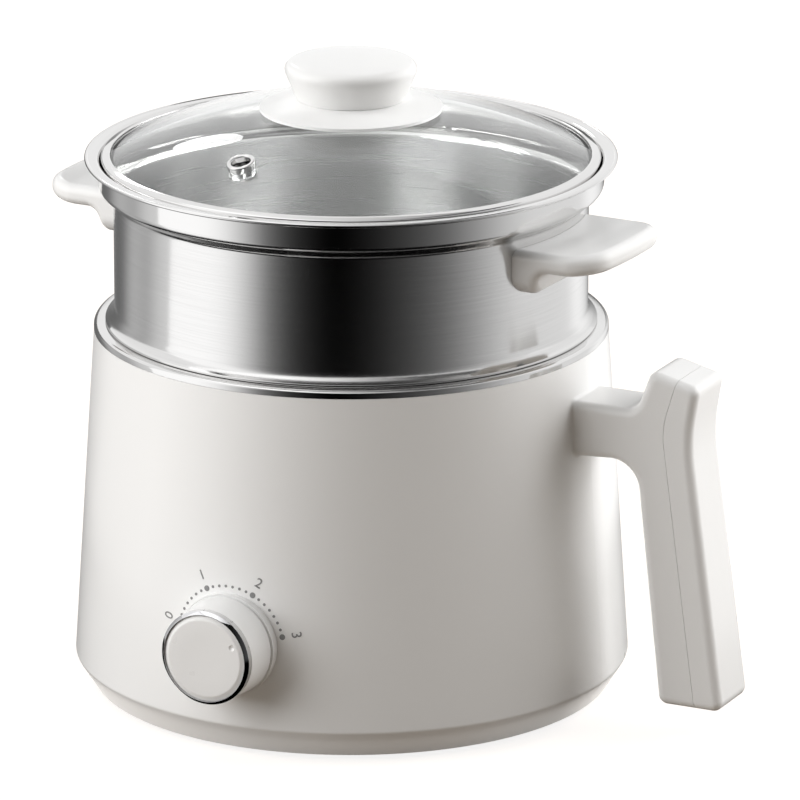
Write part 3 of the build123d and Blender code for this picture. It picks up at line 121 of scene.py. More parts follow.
class HotPotColours(PropertyGroup):
    """Colours of the finishes."""

    shell: colour("Shell", "White moulded plastic", (0.87, 0.87, 0.864))
    ink: colour("Ink", "Ink of the dial's scale", (0.25, 0.25, 0.25))
    steel: colour("Steel", "Stainless steel", (0.78, 0.775, 0.77))
    inner_steel: colour("Inner steel", "Brushed steel inside", (0.74, 0.74, 0.74))
    chrome: colour("Chrome", "Plated ring of the dial", (0.8, 0.8, 0.81))
    sheet_steel: colour("Sheet steel", "Zinc-plated steel inside", (0.55, 0.56, 0.57))
    aluminium: colour("Aluminium", "Cast heating plate", (0.62, 0.63, 0.64))
    brass: colour("Brass", "Pins of the power inlet", (0.72, 0.55, 0.25))
    dark_plastic: colour("Dark plastic", "Inlet and electric parts", (0.03, 0.03, 0.032))
    board: colour("Board", "Lacquer of the control board", (0.02, 0.12, 0.05))
    rubber: colour("Rubber", "Feet", (0.1, 0.1, 0.1))
    silicone: colour("Silicone", "Seal and washer", (0.75, 0.75, 0.74))
    live: colour("Live lead", "Insulation of the live lead", (0.35, 0.12, 0.03))
    neutral: colour("Neutral lead", "Insulation of the neutral lead", (0.03, 0.1, 0.45))
    earth: colour("Earth lead", "Insulation of the earth lead", (0.15, 0.42, 0.05))
    heater: colour("Heater lead", "Glass sleeve of the heater leads", (0.7, 0.68, 0.6))
    glass: colour("Glass", "Glass of the lid", (0.975, 0.985, 0.98))
    wear: factor("Wear", "How strongly smudges and fine scratches show", 0.5)


class HotPotStage(PropertyGroup):
    """Camera and light."""

    distance: length("Camera distance", "From the camera to the pot's axis", 2.8895)
    lens: FloatProperty(name="Lens", description="Focal length in mm", default=357.57)
    turn: angle("Camera turn", "Round the pot, from the dial's side towards the handle", 26.0)
    rise: angle("Camera rise", "Above the horizon", 16.98)
    aim_height: length("Aim height", "Height that the camera looks at", 0.10526)
    aim_aside: length("Aim aside", "How far right of the pot's axis the camera looks", 0.01764)
    key_power: FloatProperty(name="Key", description="Power of the key lamp in W", default=54)
    top_power: FloatProperty(name="Top", description="Power of the top lamp in W", default=8)
    side_power: FloatProperty(name="Side", description="Power of the side lamp in W", default=60)
    fill: FloatProperty(name="Fill", description="Strength of the studio's air", default=0.06)


# ---------------------------------------------------------------- sections and turned pieces
BEND_STEP = radians(12)  # largest turn between two points of a rounding
CREASE = radians(30)  # faces that meet at more than this keep their edge


def rounded(corners, bends):
    """The corners' line with each inner corner rounded to its bend radius."""
    line = [Vector(corners[0])]
    for before, here, after, bend in zip(corners, corners[1:], corners[2:], bends):
        here = Vector(here)
        back = (Vector(before) - here).normalized()
        ahead = (Vector(after) - here).normalized()
        half = back.angle(ahead) / 2
        if not bend:
            line.append(here)
            continue
        centre = here + (back + ahead).normalized() * bend / sin(half)
        start = here + back * bend / (sin(half) / cos(half)) - centre
        sweep = pi - 2 * half
        if back.x * start.y - back.y * start.x < 0:
            sweep = -sweep
        count = ceil(abs(sweep) / BEND_STEP)
        for part in range(count + 1):
            turned_by = sweep * part / count
            line.append(centre + Matrix.Rotation(turned_by, 2) @ start)
    line.append(Vector(corners[-1]))
    return line


def moved_left(line, distance):
    """The line moved to its left, as seen along its run, by the same distance all along."""
    moved = []
    for before, here, after in zip([None, *line], line, [*line[1:], None]):
        ahead = (here - before if after is None else after - here).normalized()
        back = ahead if before is None else (here - before).normalized()
        mean = (ahead + back).normalized()
        moved.append(here + Vector((-mean.y, mean.x)) * distance / mean.dot(ahead))
    return moved


def arc(centre, radius, start, end, count):
    """Points along an arc, from one angle to another, with count steps between them."""
    turns = [start + (end - start) * part / count for part in range(count + 1)]
    return [Vector(centre) + Vector((cos(turn), sin(turn))) * radius for turn in turns]


def select_open_edges():
    """Select the edges of the mesh that bound only one face, or none."""
    bpy.ops.mesh.select_all(action="DESELECT")
    bpy.ops.mesh.select_mode(type="EDGE")
    bpy.ops.mesh.select_non_manifold()


def deselect_all():
    """Leave no object selected."""
    bpy.ops.object.select_all(action="DESELECT")


def end_editing(piece):
    """Turn the faces outwards, leave edit mode and shade the piece."""
    bpy.ops.mesh.select_all(action="SELECT")
    bpy.ops.mesh.normals_make_consistent(inside=False)
    bpy.ops.object.mode_set(mode="OBJECT")
    bpy.ops.object.shade_smooth_by_angle(angle=CREASE)
    return piece


def turn_section(name, section):
    """Turn a section of (radius, height) points about the Z axis, ring by ring.

    A section that starts on the axis starts with a flat face, one that ends on it ends in a pole,
    and one that does neither is closed onto itself.
    """
    starts_on_axis = section[0].x == 0
    rings = section[1:] if starts_on_axis else section
    deselect_all()
    bpy.ops.mesh.primitive_circle_add(
        vertices=bpy.context.scene.hot_pot_sizes.sides,
        radius=rings[0].x,
        fill_type="TRIFAN" if starts_on_axis else "NOTHING",
    )
    piece = bpy.context.object
    piece.name = name
    bpy.ops.object.mode_set(mode="EDIT")
    bpy.ops.transform.translate(value=(0, 0, rings[0].y))
    if starts_on_axis:
        select_open_edges()
    for here, after in zip(rings, rings[1:]):
        bpy.ops.mesh.extrude_edges_move()
        if after.x:
            share = after.x / here.x
            bpy.ops.transform.resize(value=(share, share, 1))
        bpy.ops.transform.translate(value=(0, 0, after.y - here.y))
    if rings[-1].x == 0:
        bpy.ops.mesh.merge(type="CENTER")
    elif not starts_on_axis:
        select_open_edges()
        bpy.ops.mesh.bridge_edge_loops()
    return end_editing(piece)


def settle(piece, matrix):
    """Put a piece in its place, with the place kept in its mesh."""
    deselect_all()
    piece.select_set(True)
    bpy.context.view_layer.objects.active = piece
    piece.matrix_world = matrix
    bpy.ops.object.transform_apply(location=True, rotation=True, scale=True)


def deliver(piece, body, slot, *nodes):
    """Give a finished piece its finish, hang it on the body that it rides on, and hide the CAD
    nodes that it stands for.
    """
    piece.data.materials.clear()
    piece.data.materials.append(finish(slot))
    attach(piece, body)
    if nodes:
        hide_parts(*nodes)


def refinish(piece, name, low, high, radius=inf):
    """Give another finish to the faces that stand wholly between two heights, inside a radius."""
    piece.data.materials.append(finish(name))
    for face in piece.data.polygons:
        corners = [piece.data.vertices[corner].co for corner in face.vertices]
        inside = all(low <= corner.z <= high and corner.xy.length < radius for corner in corners)
        if inside:
            face.material_index = len(piece.data.materials) - 1


def cut(piece, tool):
    """Cut one piece with another, which is used up."""
    deselect_all()
    piece.select_set(True)
    bpy.context.view_layer.objects.active = piece
    bpy.ops.object.modifier_add(type="BOOLEAN")
    modifier = piece.modifiers[-1]
    modifier.operation = "DIFFERENCE"
    modifier.solver = "EXACT"
    modifier.object = tool
    bpy.ops.object.modifier_apply(modifier=modifier.name)
    bpy.data.objects.remove(tool)


def join(pieces, name):
    """Join pieces into the first of them."""
    deselect_all()
    for piece in pieces:
        piece.select_set(True)
    bpy.context.view_layer.objects.active = pieces[0]
    bpy.ops.object.join()
    pieces[0].name = name
    return pieces[0]


def copy_of(piece):
    """A copy of a piece with a mesh of its own."""
    copy = piece.copy()
    copy.data = piece.data.copy()
    bpy.context.collection.objects.link(copy)
    return copy


# ---------------------------------------------------------------- shader nodes
def add_node(tree, kind, inputs=None, **settings):
    """Add a shader node, set it up, and set or link its inputs by name."""
    made = tree.nodes.new(kind)
    for key, value in settings.items():
        setattr(made, key, value)
    for socket, value in (inputs or {}).items():
        if isinstance(value, NodeSocket):
            tree.links.new(value, made.inputs[socket])
        else:
            made.inputs[socket].default_value = value
    return made


def calculate(tree, operation, *values):
    """Result of one Math node."""
    return add_node(
        tree, "ShaderNodeMath", dict(enumerate(values)), operation=operation
    ).outputs[0]


def ramp(tree, value, low, high, from_low=0.0, from_high=1.0):
    """Map a value from one range to another."""
    node = add_node(
        tree,
        "ShaderNodeMapRange",
        {"Value": value, "From Min": from_low, "From Max": from_high, "To Min": low,
         "To Max": high},
    )
    return node.outputs["Result"]


def tint(tree, base, shade, share):
    """A colour made lighter or darker: mixed towards shade by share."""
    node = add_node(tree, "ShaderNodeMix", {0: share, 6: base, 7: shade}, data_type="RGBA")
    return node.outputs[2]


# ---------------------------------------------------------------- patterns of the finishes
PATTERN_OUTPUTS = {"Colour": "Color", "Roughness": "Float", "Height": "Float"}
CLOUD_SHADE = (0.3, 0.28, 0.25, 1)
STREAK_SHADE = (0.2, 0.2, 0.2, 1)
SMUDGE_SHADE = (0.4, 0.4, 0.4, 1)
GRAIN_DENSITY = 1200.0
LINE_DENSITY = 3600.0
BROAD_LINE_DENSITY = 1500.0
FINE_LINE_SHARE = 0.7  # of the brushed lines' height; the broad lines have the rest
LEAST_RADIUS = 0.1 * MM  # keeps the brushed lines defined on the axis


def start_group(name, inputs):
    """A shader group for a pattern, with its sockets, and what it is given."""
    tree = bpy.data.node_groups.new(name, "ShaderNodeTree")
    for socket, (kind, default) in inputs.items():
        made = tree.interface.new_socket(
            name=socket, in_out="INPUT", socket_type=f"NodeSocket{kind}"
        )
        made.default_value = default
    for socket, kind in PATTERN_OUTPUTS.items():
        tree.interface.new_socket(name=socket, in_out="OUTPUT", socket_type=f"NodeSocket{kind}")
    return tree, tree.nodes.new("NodeGroupInput").outputs


def end_group(tree, given, shade, share, swing, height):
    """Put out the colour mixed towards a shade, the roughness with its swing, and the height."""
    add_node(
        tree,
        "NodeGroupOutput",
        {"Colour": tint(tree, given["Colour"], shade, share),
         "Roughness": calculate(tree, "ADD", given["Roughness"], swing), "Height": height},
    )
    return tree


def object_place(tree):
    """The object's own coordinates."""
    return tree.nodes.new("ShaderNodeTexCoord").outputs["Object"]


def object_axes(tree):
    """The object's own coordinates, one by one."""
    return add_node(tree, "ShaderNodeSeparateXYZ", {0: object_place(tree)}).outputs


def from_axis(tree, axes):
    """Distance from the object's upright axis."""
    squares = [calculate(tree, "MULTIPLY", axes[axis], axes[axis]) for axis in (0, 1)]
    return calculate(tree, "SQRT", calculate(tree, "ADD", *squares))


def noise(tree, place, scale, detail=3.0):
    """Value of a noise at a place."""
    values = {"Vector": place, "Scale": scale, "Detail": detail}
    return add_node(tree, "ShaderNodeTexNoise", values).outputs[0]


def line_noise(tree, around, across, density, detail):
    """Value of a noise that is drawn out round the axis, into fine lines across it."""
    place = add_node(
        tree,
        "ShaderNodeCombineXYZ",
        {0: around[0], 1: around[1], 2: calculate(tree, "MULTIPLY", across, density)},
    )
    return noise(tree, place.outputs[0], 1.0, detail)


def moulded_group():
    """Moulded or rubbery surface: a fine grain, with faint clouds in its colour and gloss."""
    tree, given = start_group(
        "moulded_surface",
        {"Colour": ("Color", (0.8, 0.8, 0.8, 1)), "Roughness": ("Float", 0.35),
         "Clouds": ("Float", 0.03), "Smudges": ("Float", 0.08),
         "Grain Density": ("Float", GRAIN_DENSITY)},
    )
    clouds = noise(tree, object_place(tree), scale=14.0)
    smudges = noise(tree, object_place(tree), scale=45.0, detail=5.0)
    grain = noise(tree, object_place(tree), scale=given["Grain Density"], detail=2.0)
    share = calculate(tree, "MULTIPLY", given["Clouds"], clouds)
    swing = calculate(tree, "MULTIPLY", given["Smudges"], ramp(tree, smudges, -1.0, 1.0))
    return end_group(tree, given, CLOUD_SHADE, share, swing, grain)


def brushed_group():
    """Metal brushed round the pot's axis: long fine lines, broken up by broader ones."""
    tree, given = start_group(
        "brushed_round",
        {"Colour": ("Color", (0.7, 0.7, 0.7, 1)), "Roughness": ("Float", 0.25),
         "Streaks": ("Float", 0.1), "Line Density": ("Float", LINE_DENSITY),
         "Line Length": ("Float", 2.0)},
    )
    axes = object_axes(tree)
    radius = calculate(tree, "MAXIMUM", from_axis(tree, axes), LEAST_RADIUS)
    across = calculate(tree, "ADD", radius, axes[2])
    around = [
        calculate(
            tree, "MULTIPLY", calculate(tree, "DIVIDE", axes[axis], radius), given["Line Length"]
        )
        for axis in (0, 1)
    ]
    fine = line_noise(tree, around, across, given["Line Density"], detail=4.0)
    broad = line_noise(tree, around, across, BROAD_LINE_DENSITY, detail=3.0)
    lines = calculate(
        tree,
        "ADD",
        calculate(tree, "MULTIPLY", fine, FINE_LINE_SHARE),
        calculate(tree, "MULTIPLY", broad, 1 - FINE_LINE_SHARE),
    )
    dark = ramp(tree, lines, 0.0, 2.0, from_low=0.35, from_high=0.65)
    share = calculate(tree, "MULTIPLY", given["Streaks"], dark)
    swing = calculate(tree, "MULTIPLY", given["Streaks"], ramp(tree, lines, -0.6, 0.6))
    return end_group(tree, given, STREAK_SHADE, share, swing, lines)


def polished_group():
    """Polished or plated metal: a clear face with faint smudges and hair scratches."""
    tree, given = start_group(
        "polished_face",
        {"Colour": ("Color", (0.7, 0.7, 0.7, 1)), "Roughness": ("Float", 0.06),
         "Smudges": ("Float", 0.05)},
    )
    smudges = noise(tree, object_place(tree), scale=60.0, detail=5.0)
    scratches = noise(tree, object_place(tree), scale=900.0, detail=2.0)
    dull = ramp(tree, smudges, 0.0, 1.0, from_low=0.4, from_high=0.8)
    share = calculate(tree, "MULTIPLY", given["Smudges"], smudges)
    swing = calculate(tree, "MULTIPLY", given["Smudges"], dull)
    return end_group(tree, given, SMUDGE_SHADE, share, swing, scratches)


def pattern_group(name):
    """One of the shader groups, built when it is first asked for."""
    makers = {
        "moulded_surface": moulded_group,
        "brushed_round": brushed_group,
        "polished_face": polished_group,
    }
    return bpy.data.node_groups.get(name) or makers[name]()


# ---------------------------------------------------------------- materials
PLASTIC_SMUDGES = 0.12  # swing of the roughness at full wear
METAL_SMUDGES = 0.1
MOULDED_RELIEF = 0.02 * MM
POLISHED_RELIEF = 0.002 * MM
BRUSHED_RELIEF = 0.001 * MM
GLASS_IOR = 1.33


def empty_material(name):
    """A material without nodes."""
    material = bpy.data.materials.new(name)
    material.use_nodes = True
    material.node_tree.nodes.clear()
    return material


def show(tree, shader):
    """Let a material show the output of a shader."""
    add_node(tree, "ShaderNodeOutputMaterial", {"Surface": shader})


def mixed(tree, share, first, second):
    """Output of two shaders mixed: wholly the second one where the share is 1."""
    return add_node(tree, "ShaderNodeMixShader", {0: share, 1: first, 2: second}).outputs[0]


def surface(name, group, relief, values, shader_values):
    """A material, one group of its pattern feeding one Principled shader, and that shader."""
    material = empty_material(name)
    tree = material.node_tree
    pattern = add_node(tree, "ShaderNodeGroup", node_tree=pattern_group(group))
    for socket, value in values.items():
        pattern.inputs[socket].default_value = value
    bump = add_node(
        tree,
        "ShaderNodeBump",
        {"Height": pattern.outputs["Height"], "Strength": 1.0, "Distance": relief},
    )
    shader = add_node(
        tree,
        "ShaderNodeBsdfPrincipled",
        {"Base Color": pattern.outputs["Colour"], "Roughness": pattern.outputs["Roughness"],
         "Normal": bump.outputs["Normal"], **shader_values},
    )
    show(tree, shader.outputs[0])
    return material, shader


def with_alpha(colour_value):
    """A colour with its alpha."""
    return (*colour_value, 1)


def smudged(share):
    """A share of smudges, at the wear that is set."""
    return share * bpy.context.scene.hot_pot_colours.wear


def moulding(name, colour_value, roughness, grain=GRAIN_DENSITY, coat=0.0):
    """Moulded plastic, rubber, silicone or lacquer."""
    return surface(
        name,
        "moulded_surface",
        MOULDED_RELIEF,
        {"Colour": with_alpha(colour_value), "Roughness": roughness,
         "Smudges": smudged(PLASTIC_SMUDGES), "Grain Density": grain},
        {"Coat Weight": coat, "Coat Roughness": 0.12},
    )[0]


def polished(name, colour_value, roughness):
    """Polished steel, plating or plain metal parts."""
    return surface(
        name,
        "polished_face",
        POLISHED_RELIEF,
        {"Colour": with_alpha(colour_value), "Roughness": roughness,
         "Smudges": smudged(METAL_SMUDGES)},
        {"Metallic": 1.0},
    )[0]


def brushed(name, colour_value, roughness, streaks=0.05):
    """Steel brushed round the pot's axis, so its highlights spread upwards and downwards."""
    material, shader = surface(
        name,
        "brushed_round",
        BRUSHED_RELIEF,
        {"Colour": with_alpha(colour_value), "Roughness": roughness, "Streaks": streaks},
        {"Metallic": 1.0, "Anisotropic": 0.75, "Anisotropic Rotation": 0.25},
    )
    tree = material.node_tree
    around = add_node(tree, "ShaderNodeTangent", direction_type="RADIAL", axis="Z")
    tree.links.new(around.outputs[0], shader.inputs["Tangent"])
    return material


def clear_glass(name, colour_value):
    """Glass of the lid, which lets light through to what it covers."""
    material = empty_material(name)
    tree = material.node_tree
    smudges = noise(tree, object_place(tree), scale=30.0, detail=4.0)
    shader = add_node(
        tree,
        "ShaderNodeBsdfPrincipled",
        {"Base Color": with_alpha(colour_value), "IOR": GLASS_IOR, "Transmission Weight": 1.0,
         "Roughness": ramp(tree, smudges, 0.0, 0.02, from_low=0.5, from_high=0.8)},
    )
    clear = add_node(tree, "ShaderNodeBsdfTransparent", {"Color": with_alpha(colour_value)})
    shadow = tree.nodes.new("ShaderNodeLightPath").outputs["Is Shadow Ray"]
    show(tree, mixed(tree, shadow, shader.outputs[0], clear.outputs[0]))
    return material


# each finish: its material's name, its maker, its colour's name, and its maker's values
FINISHES = {
    "white_plastic": ("shell_white", moulding, "shell", {"roughness": 0.3, "coat": 0.3}),
    "dark_plastic": ("inlet_black", moulding, "dark_plastic", {"roughness": 0.4}),
    "board": ("board_green", moulding, "board", {"roughness": 0.35, "grain": 300.0}),
    "rubber": ("foot_rubber", moulding, "rubber", {"roughness": 0.7}),
    "silicone": ("seal_silicone", moulding, "silicone", {"roughness": 0.55}),
    "scale_print": ("scale_ink", moulding, "ink", {"roughness": 0.45}),
    "lead_live": ("live_sleeve", moulding, "live", {"roughness": 0.45}),
    "lead_neutral": ("neutral_sleeve", moulding, "neutral", {"roughness": 0.45}),
    "lead_earth": ("earth_sleeve", moulding, "earth", {"roughness": 0.45}),
    "lead_heater": ("heater_sleeve", moulding, "heater", {"roughness": 0.7}),
    "pot_steel": ("rim_steel", polished, "steel", {"roughness": 0.07}),
    "pot_inside": ("inside_steel", brushed, "inner_steel", {"roughness": 0.26, "streaks": 0.1}),
    "steamer_steel": ("lip_steel", polished, "steel", {"roughness": 0.06}),
    "steamer_wall": ("wall_steel", brushed, "steel", {"roughness": 0.17}),
    "band_steel": ("band_bright", polished, "steel", {"roughness": 0.05}),
    "sheet_steel": ("shield_zinc", polished, "sheet_steel", {"roughness": 0.35}),
    "element_steel": ("element_tube", polished, "sheet_steel", {"roughness": 0.45}),
    "fastener_steel": ("screw_zinc", polished, "sheet_steel", {"roughness": 0.3}),
    "dial_chrome": ("dial_plating", polished, "chrome", {"roughness": 0.04}),
    "heater_aluminium": ("plate_casting", polished, "aluminium", {"roughness": 0.5}),
    "pin_brass": ("pin_metal", polished, "brass", {"roughness": 0.25}),
    "lid_glass": ("lid_pane", clear_glass, "glass", {}),
}


def finish(slot):
    """The material of a finish, made when it is first asked for."""
    name, make, tone, values = FINISHES[slot]
    colours = bpy.context.scene.hot_pot_colours
    return bpy.data.materials.get(name) or make(name, getattr(colours, tone), **values)


# ---------------------------------------------------------------- the pieces
SEAM_PLAY = 0.1 * MM  # faces are picked for a finish with this much play in height
BRUSHED_DROP = 2.0 * MM  # a brushed wall ends this far below its rim or lip
INSIDE_PLAY = 0.5 * MM  # faces this far beyond the pot's inner wall still count as inside
RIM_DROP = 2.7 * MM
RIM_INNER_BEND_R = 1.2 * MM
RIM_OUTER_BEND_R = 1.5 * MM
POT_CORNER_R = 12.0 * MM
HEM_SEAT_GAP = 0.1 * MM
HEM_THICKNESS = 0.9 * MM
HEM_FLARE_RISE = 2.0 * MM
HEM_FLARE_R = 5.0 * MM
HEM_ROOT_R = 0.3 * MM
HEM_LOWER_EDGE_R = 0.4 * MM
HEM_UPPER_EDGE_R = 0.3 * MM
STEP_RISE = 3.9 * MM
COLLAR_HEIGHT = 9.8 * MM
STEP_BEND_R = 2.2 * MM
COLLAR_BEND_R = 3.0 * MM
LIP_BEND_R = 1.4 * MM
LIP_BEAD_R = 0.7 * MM
BEAD_STEPS = 16
BAND_FALL = 1.0 * MM  # the band's outer edge lies this far below its highest line
BAND_LIP_BEND_R = 0.6 * MM
BAND_SHOULDER_R = 1.0 * MM
BAND_INNER_BEND_R = 0.3 * MM
KNOB_CROWN = 2.4 * MM
KNOB_CROWN_STEPS = 14
KNOB_EDGE_STEPS = 3  # of the crown's steps, where the rounded edge runs out
KNOB_NECK_R = 19.8 * MM
KNOB_NECK_EDGE_R = 0.4 * MM
DIAL_WALL = 2.0 * MM
DIAL_TAPER = 1.0 * MM  # the dial's body is this much wider at its back
DIAL_BACK_EDGE_R = 0.4 * MM
DIAL_FRONT_EDGE_R = 0.2 * MM
DIAL_CAP_EDGE = 1.9 * MM  # width of the soft edge round the cap
DIAL_CAP_EDGE_FALL = 0.9 * MM
DIAL_CAP_SIDE_BEND_R = 0.4 * MM
DIAL_CAP_FACE_BEND_R = 1.5 * MM
DIAL_RING_LAND = 0.15 * MM  # flat left between the ring's bevel and the cap
DIAL_RING_BACK_EDGE_R = 0.2 * MM
DIAL_RING_SIDE_BEND_R = 0.3 * MM
DIAL_RING_FACE_BEND_R = 0.15 * MM
DIAL_RING_HOLE_EDGE_R = 0.05 * MM
DIAL_RING_SEAM = 1.0 * MM  # height in the hole at which the ring's section is closed
DIAL_CAP_DISH = 0.25 * MM
POINTER_ANGLE = radians(27.0)
POINTER_CIRCLE_R = 12.3 * MM
POINTER_R = 1.3 * MM
SHOULDER_HEIGHT = 12.2 * MM
HOUSING_FLARE = 7.9 * MM
SCALE_CIRCLE_R = 21.0 * MM
FIGURE_CIRCLE_R = 26.0 * MM
SCALE_START = radians(167.0)  # the scale runs clockwise from here
SCALE_END = radians(13.0)
SCALE_STEPS = 21
STEPS_PER_FIGURE = 7
PRINT_THICKNESS = 0.2 * MM
PRINT_PROUD = 0.06 * MM


class HOTPOT_OT_pot(Operator):
    """Turn the pot: floor, wall and the rim that is rolled over the housing's top"""

    bl_idname = "hotpot.pot"
    bl_label = "Pot"

    def execute(self, context):
        sizes = context.scene.hot_pot_sizes
        rim = cad_top("inner_pot")
        rim_r = cad_radius("inner_pot")
        wall_r = rim_r - sizes.rim_width
        floor = cad_foot("inner_pot") + sizes.sheet
        face = rounded(
            [(0, floor), (wall_r, floor), (wall_r, rim), (rim_r, rim), (rim_r, rim - RIM_DROP)],
            [POT_CORNER_R, RIM_INNER_BEND_R, RIM_OUTER_BEND_R],
        )
        pot = turn_section("cooking_pot", face + moved_left(face, -sizes.sheet)[::-1])
        deliver(pot, "base", "pot_steel", "inner_pot")
        refinish(pot, "pot_inside", 0, rim - BRUSHED_DROP, wall_r + INSIDE_PLAY)
        return {"FINISHED"}


class HOTPOT_OT_steamer(Operator):
    """Turn the steamer: skirt, hem, brushed wall, step, collar and the lip with its bead"""

    bl_idname = "hotpot.steamer"
    bl_label = "Steamer"

    def execute(self, context):
        sizes = context.scene.hot_pot_sizes
        sheet = sizes.sheet
        lip_r = cad_radius("steamer_body")
        lip = cad_top("steamer_body") - LIP_BEAD_R
        collar_r = lip_r - sizes.lip_width
        wall_r = collar_r - sizes.step_width
        hem_r = wall_r + sizes.hem_width
        foot = cad_foot("steamer_body")
        hem = cad_top("inner_pot") + HEM_SEAT_GAP
        hem_top = hem + HEM_THICKNESS
        step_top = lip - sheet / 2 - COLLAR_HEIGHT
        step_foot = step_top - STEP_RISE
        bead = (lip_r - LIP_BEAD_R, lip)
        bead_meets = pi - asin(sheet / 2 / LIP_BEAD_R)
        bead_start_r = bead[0] + LIP_BEAD_R * cos(bead_meets)
        face = rounded(
            [(wall_r, foot), (wall_r, step_foot), (collar_r, step_top),
             (collar_r, lip - sheet / 2), (bead_start_r, lip - sheet / 2)],
            [STEP_BEND_R, COLLAR_BEND_R, LIP_BEND_R],
        )
        fold = rounded(
            [(wall_r, foot), (wall_r, hem), (hem_r, hem), (hem_r, hem_top),
             (wall_r, hem_top + HEM_FLARE_RISE), (wall_r, step_top)],
            [HEM_ROOT_R, HEM_LOWER_EDGE_R, HEM_UPPER_EDGE_R, HEM_FLARE_R],
        )[1:-1]
        roll = arc(bead, LIP_BEAD_R, -bead_meets, bead_meets, BEAD_STEPS)[1:-1]
        back = moved_left(face, sheet)[::-1]
        steamer = turn_section("steamer_ring", [face[0], *fold, *face[1:], *roll, *back])
        deliver(steamer, "steamer", "steamer_steel", "steamer_body")
        refinish(steamer, "steamer_wall", hem_top + SEAM_PLAY, step_foot + SEAM_PLAY)
        refinish(steamer, "steamer_wall", step_top - SEAM_PLAY, lip - BRUSHED_DROP)
        refinish(steamer, "pot_inside", foot - SEAM_PLAY, step_top, wall_r - sheet / 2)
        return {"FINISHED"}


class HOTPOT_OT_lid_band(Operator):
    """Turn the lid's band: a lip rolled down onto the glass, a shoulder and a skirt"""

    bl_idname = "hotpot.lid_band"
    bl_label = "Lid band"

    def execute(self, context):
        sizes = context.scene.hot_pot_sizes
        sheet = sizes.sheet
        foot = cad_foot("lid_band")
        top = cad_top("lid_band")
        band_r = cad_radius("lid_band")
        lip_r = band_r - sheet - sizes.band_lip
        face = rounded(
            [(lip_r, top - sheet), (lip_r, top), (band_r, top - BAND_FALL), (band_r, foot)],
            [BAND_LIP_BEND_R, BAND_SHOULDER_R],
        )
        skirt = rounded(
            [(band_r - sheet, foot), (band_r - sheet, top - BAND_FALL - sheet),
             (lip_r + sheet / 2, top - sheet)],
            [BAND_INNER_BEND_R],
        )
        band = turn_section("lid_rim", face + skirt)
        deliver(band, "lid", "band_steel", "lid_band")
        return {"FINISHED"}


class HOTPOT_OT_lid_knob(Operator):
    """Turn the lid's knob: a flank that widens upwards, a rounded edge and a low crown"""

    bl_idname = "hotpot.lid_knob"
    bl_label = "Lid knob"

    def execute(self, context):
        sizes = context.scene.hot_pot_sizes
        neck = cad_foot("lid_knob")
        top = cad_top("lid_knob")
        edge_r = cad_radius("lid_knob") + KNOB_CROWN / 2  # of the corner before its rounding
        crown_r = (edge_r**2 + KNOB_CROWN**2) / (2 * KNOB_CROWN)
        lean = asin(edge_r / crown_r)
        crown = arc((0, top - crown_r), crown_r, pi / 2 - lean, pi / 2, KNOB_CROWN_STEPS)
        flank = rounded(
            [(0, neck), (KNOB_NECK_R, neck), tuple(crown[0]), tuple(crown[KNOB_EDGE_STEPS])],
            [KNOB_NECK_EDGE_R, sizes.knob_edge],
        )
        face = [*crown[KNOB_EDGE_STEPS + 1 : -1], Vector((0, top))]
        knob = turn_section("lid_grip", flank + face)
        deliver(knob, "lid", "white_plastic", "lid_knob")
        return {"FINISHED"}


def dial_place(node):
    """Place on the dial's axis at the back of a CAD node: Z runs out towards the user."""
    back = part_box(node)[1][1]
    low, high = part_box("dial_ring")
    middle = (low + high) / 2
    turned_out = Matrix(((1, 0, 0), (0, 0, -1), (0, 1, 0))).to_4x4()
    return Matrix.Translation((middle[0], back, middle[2])) @ turned_out


def dial_depth(node):
    """How far a CAD node of the dial reaches out along the dial's axis."""
    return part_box(node)[1][1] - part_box(node)[0][1]


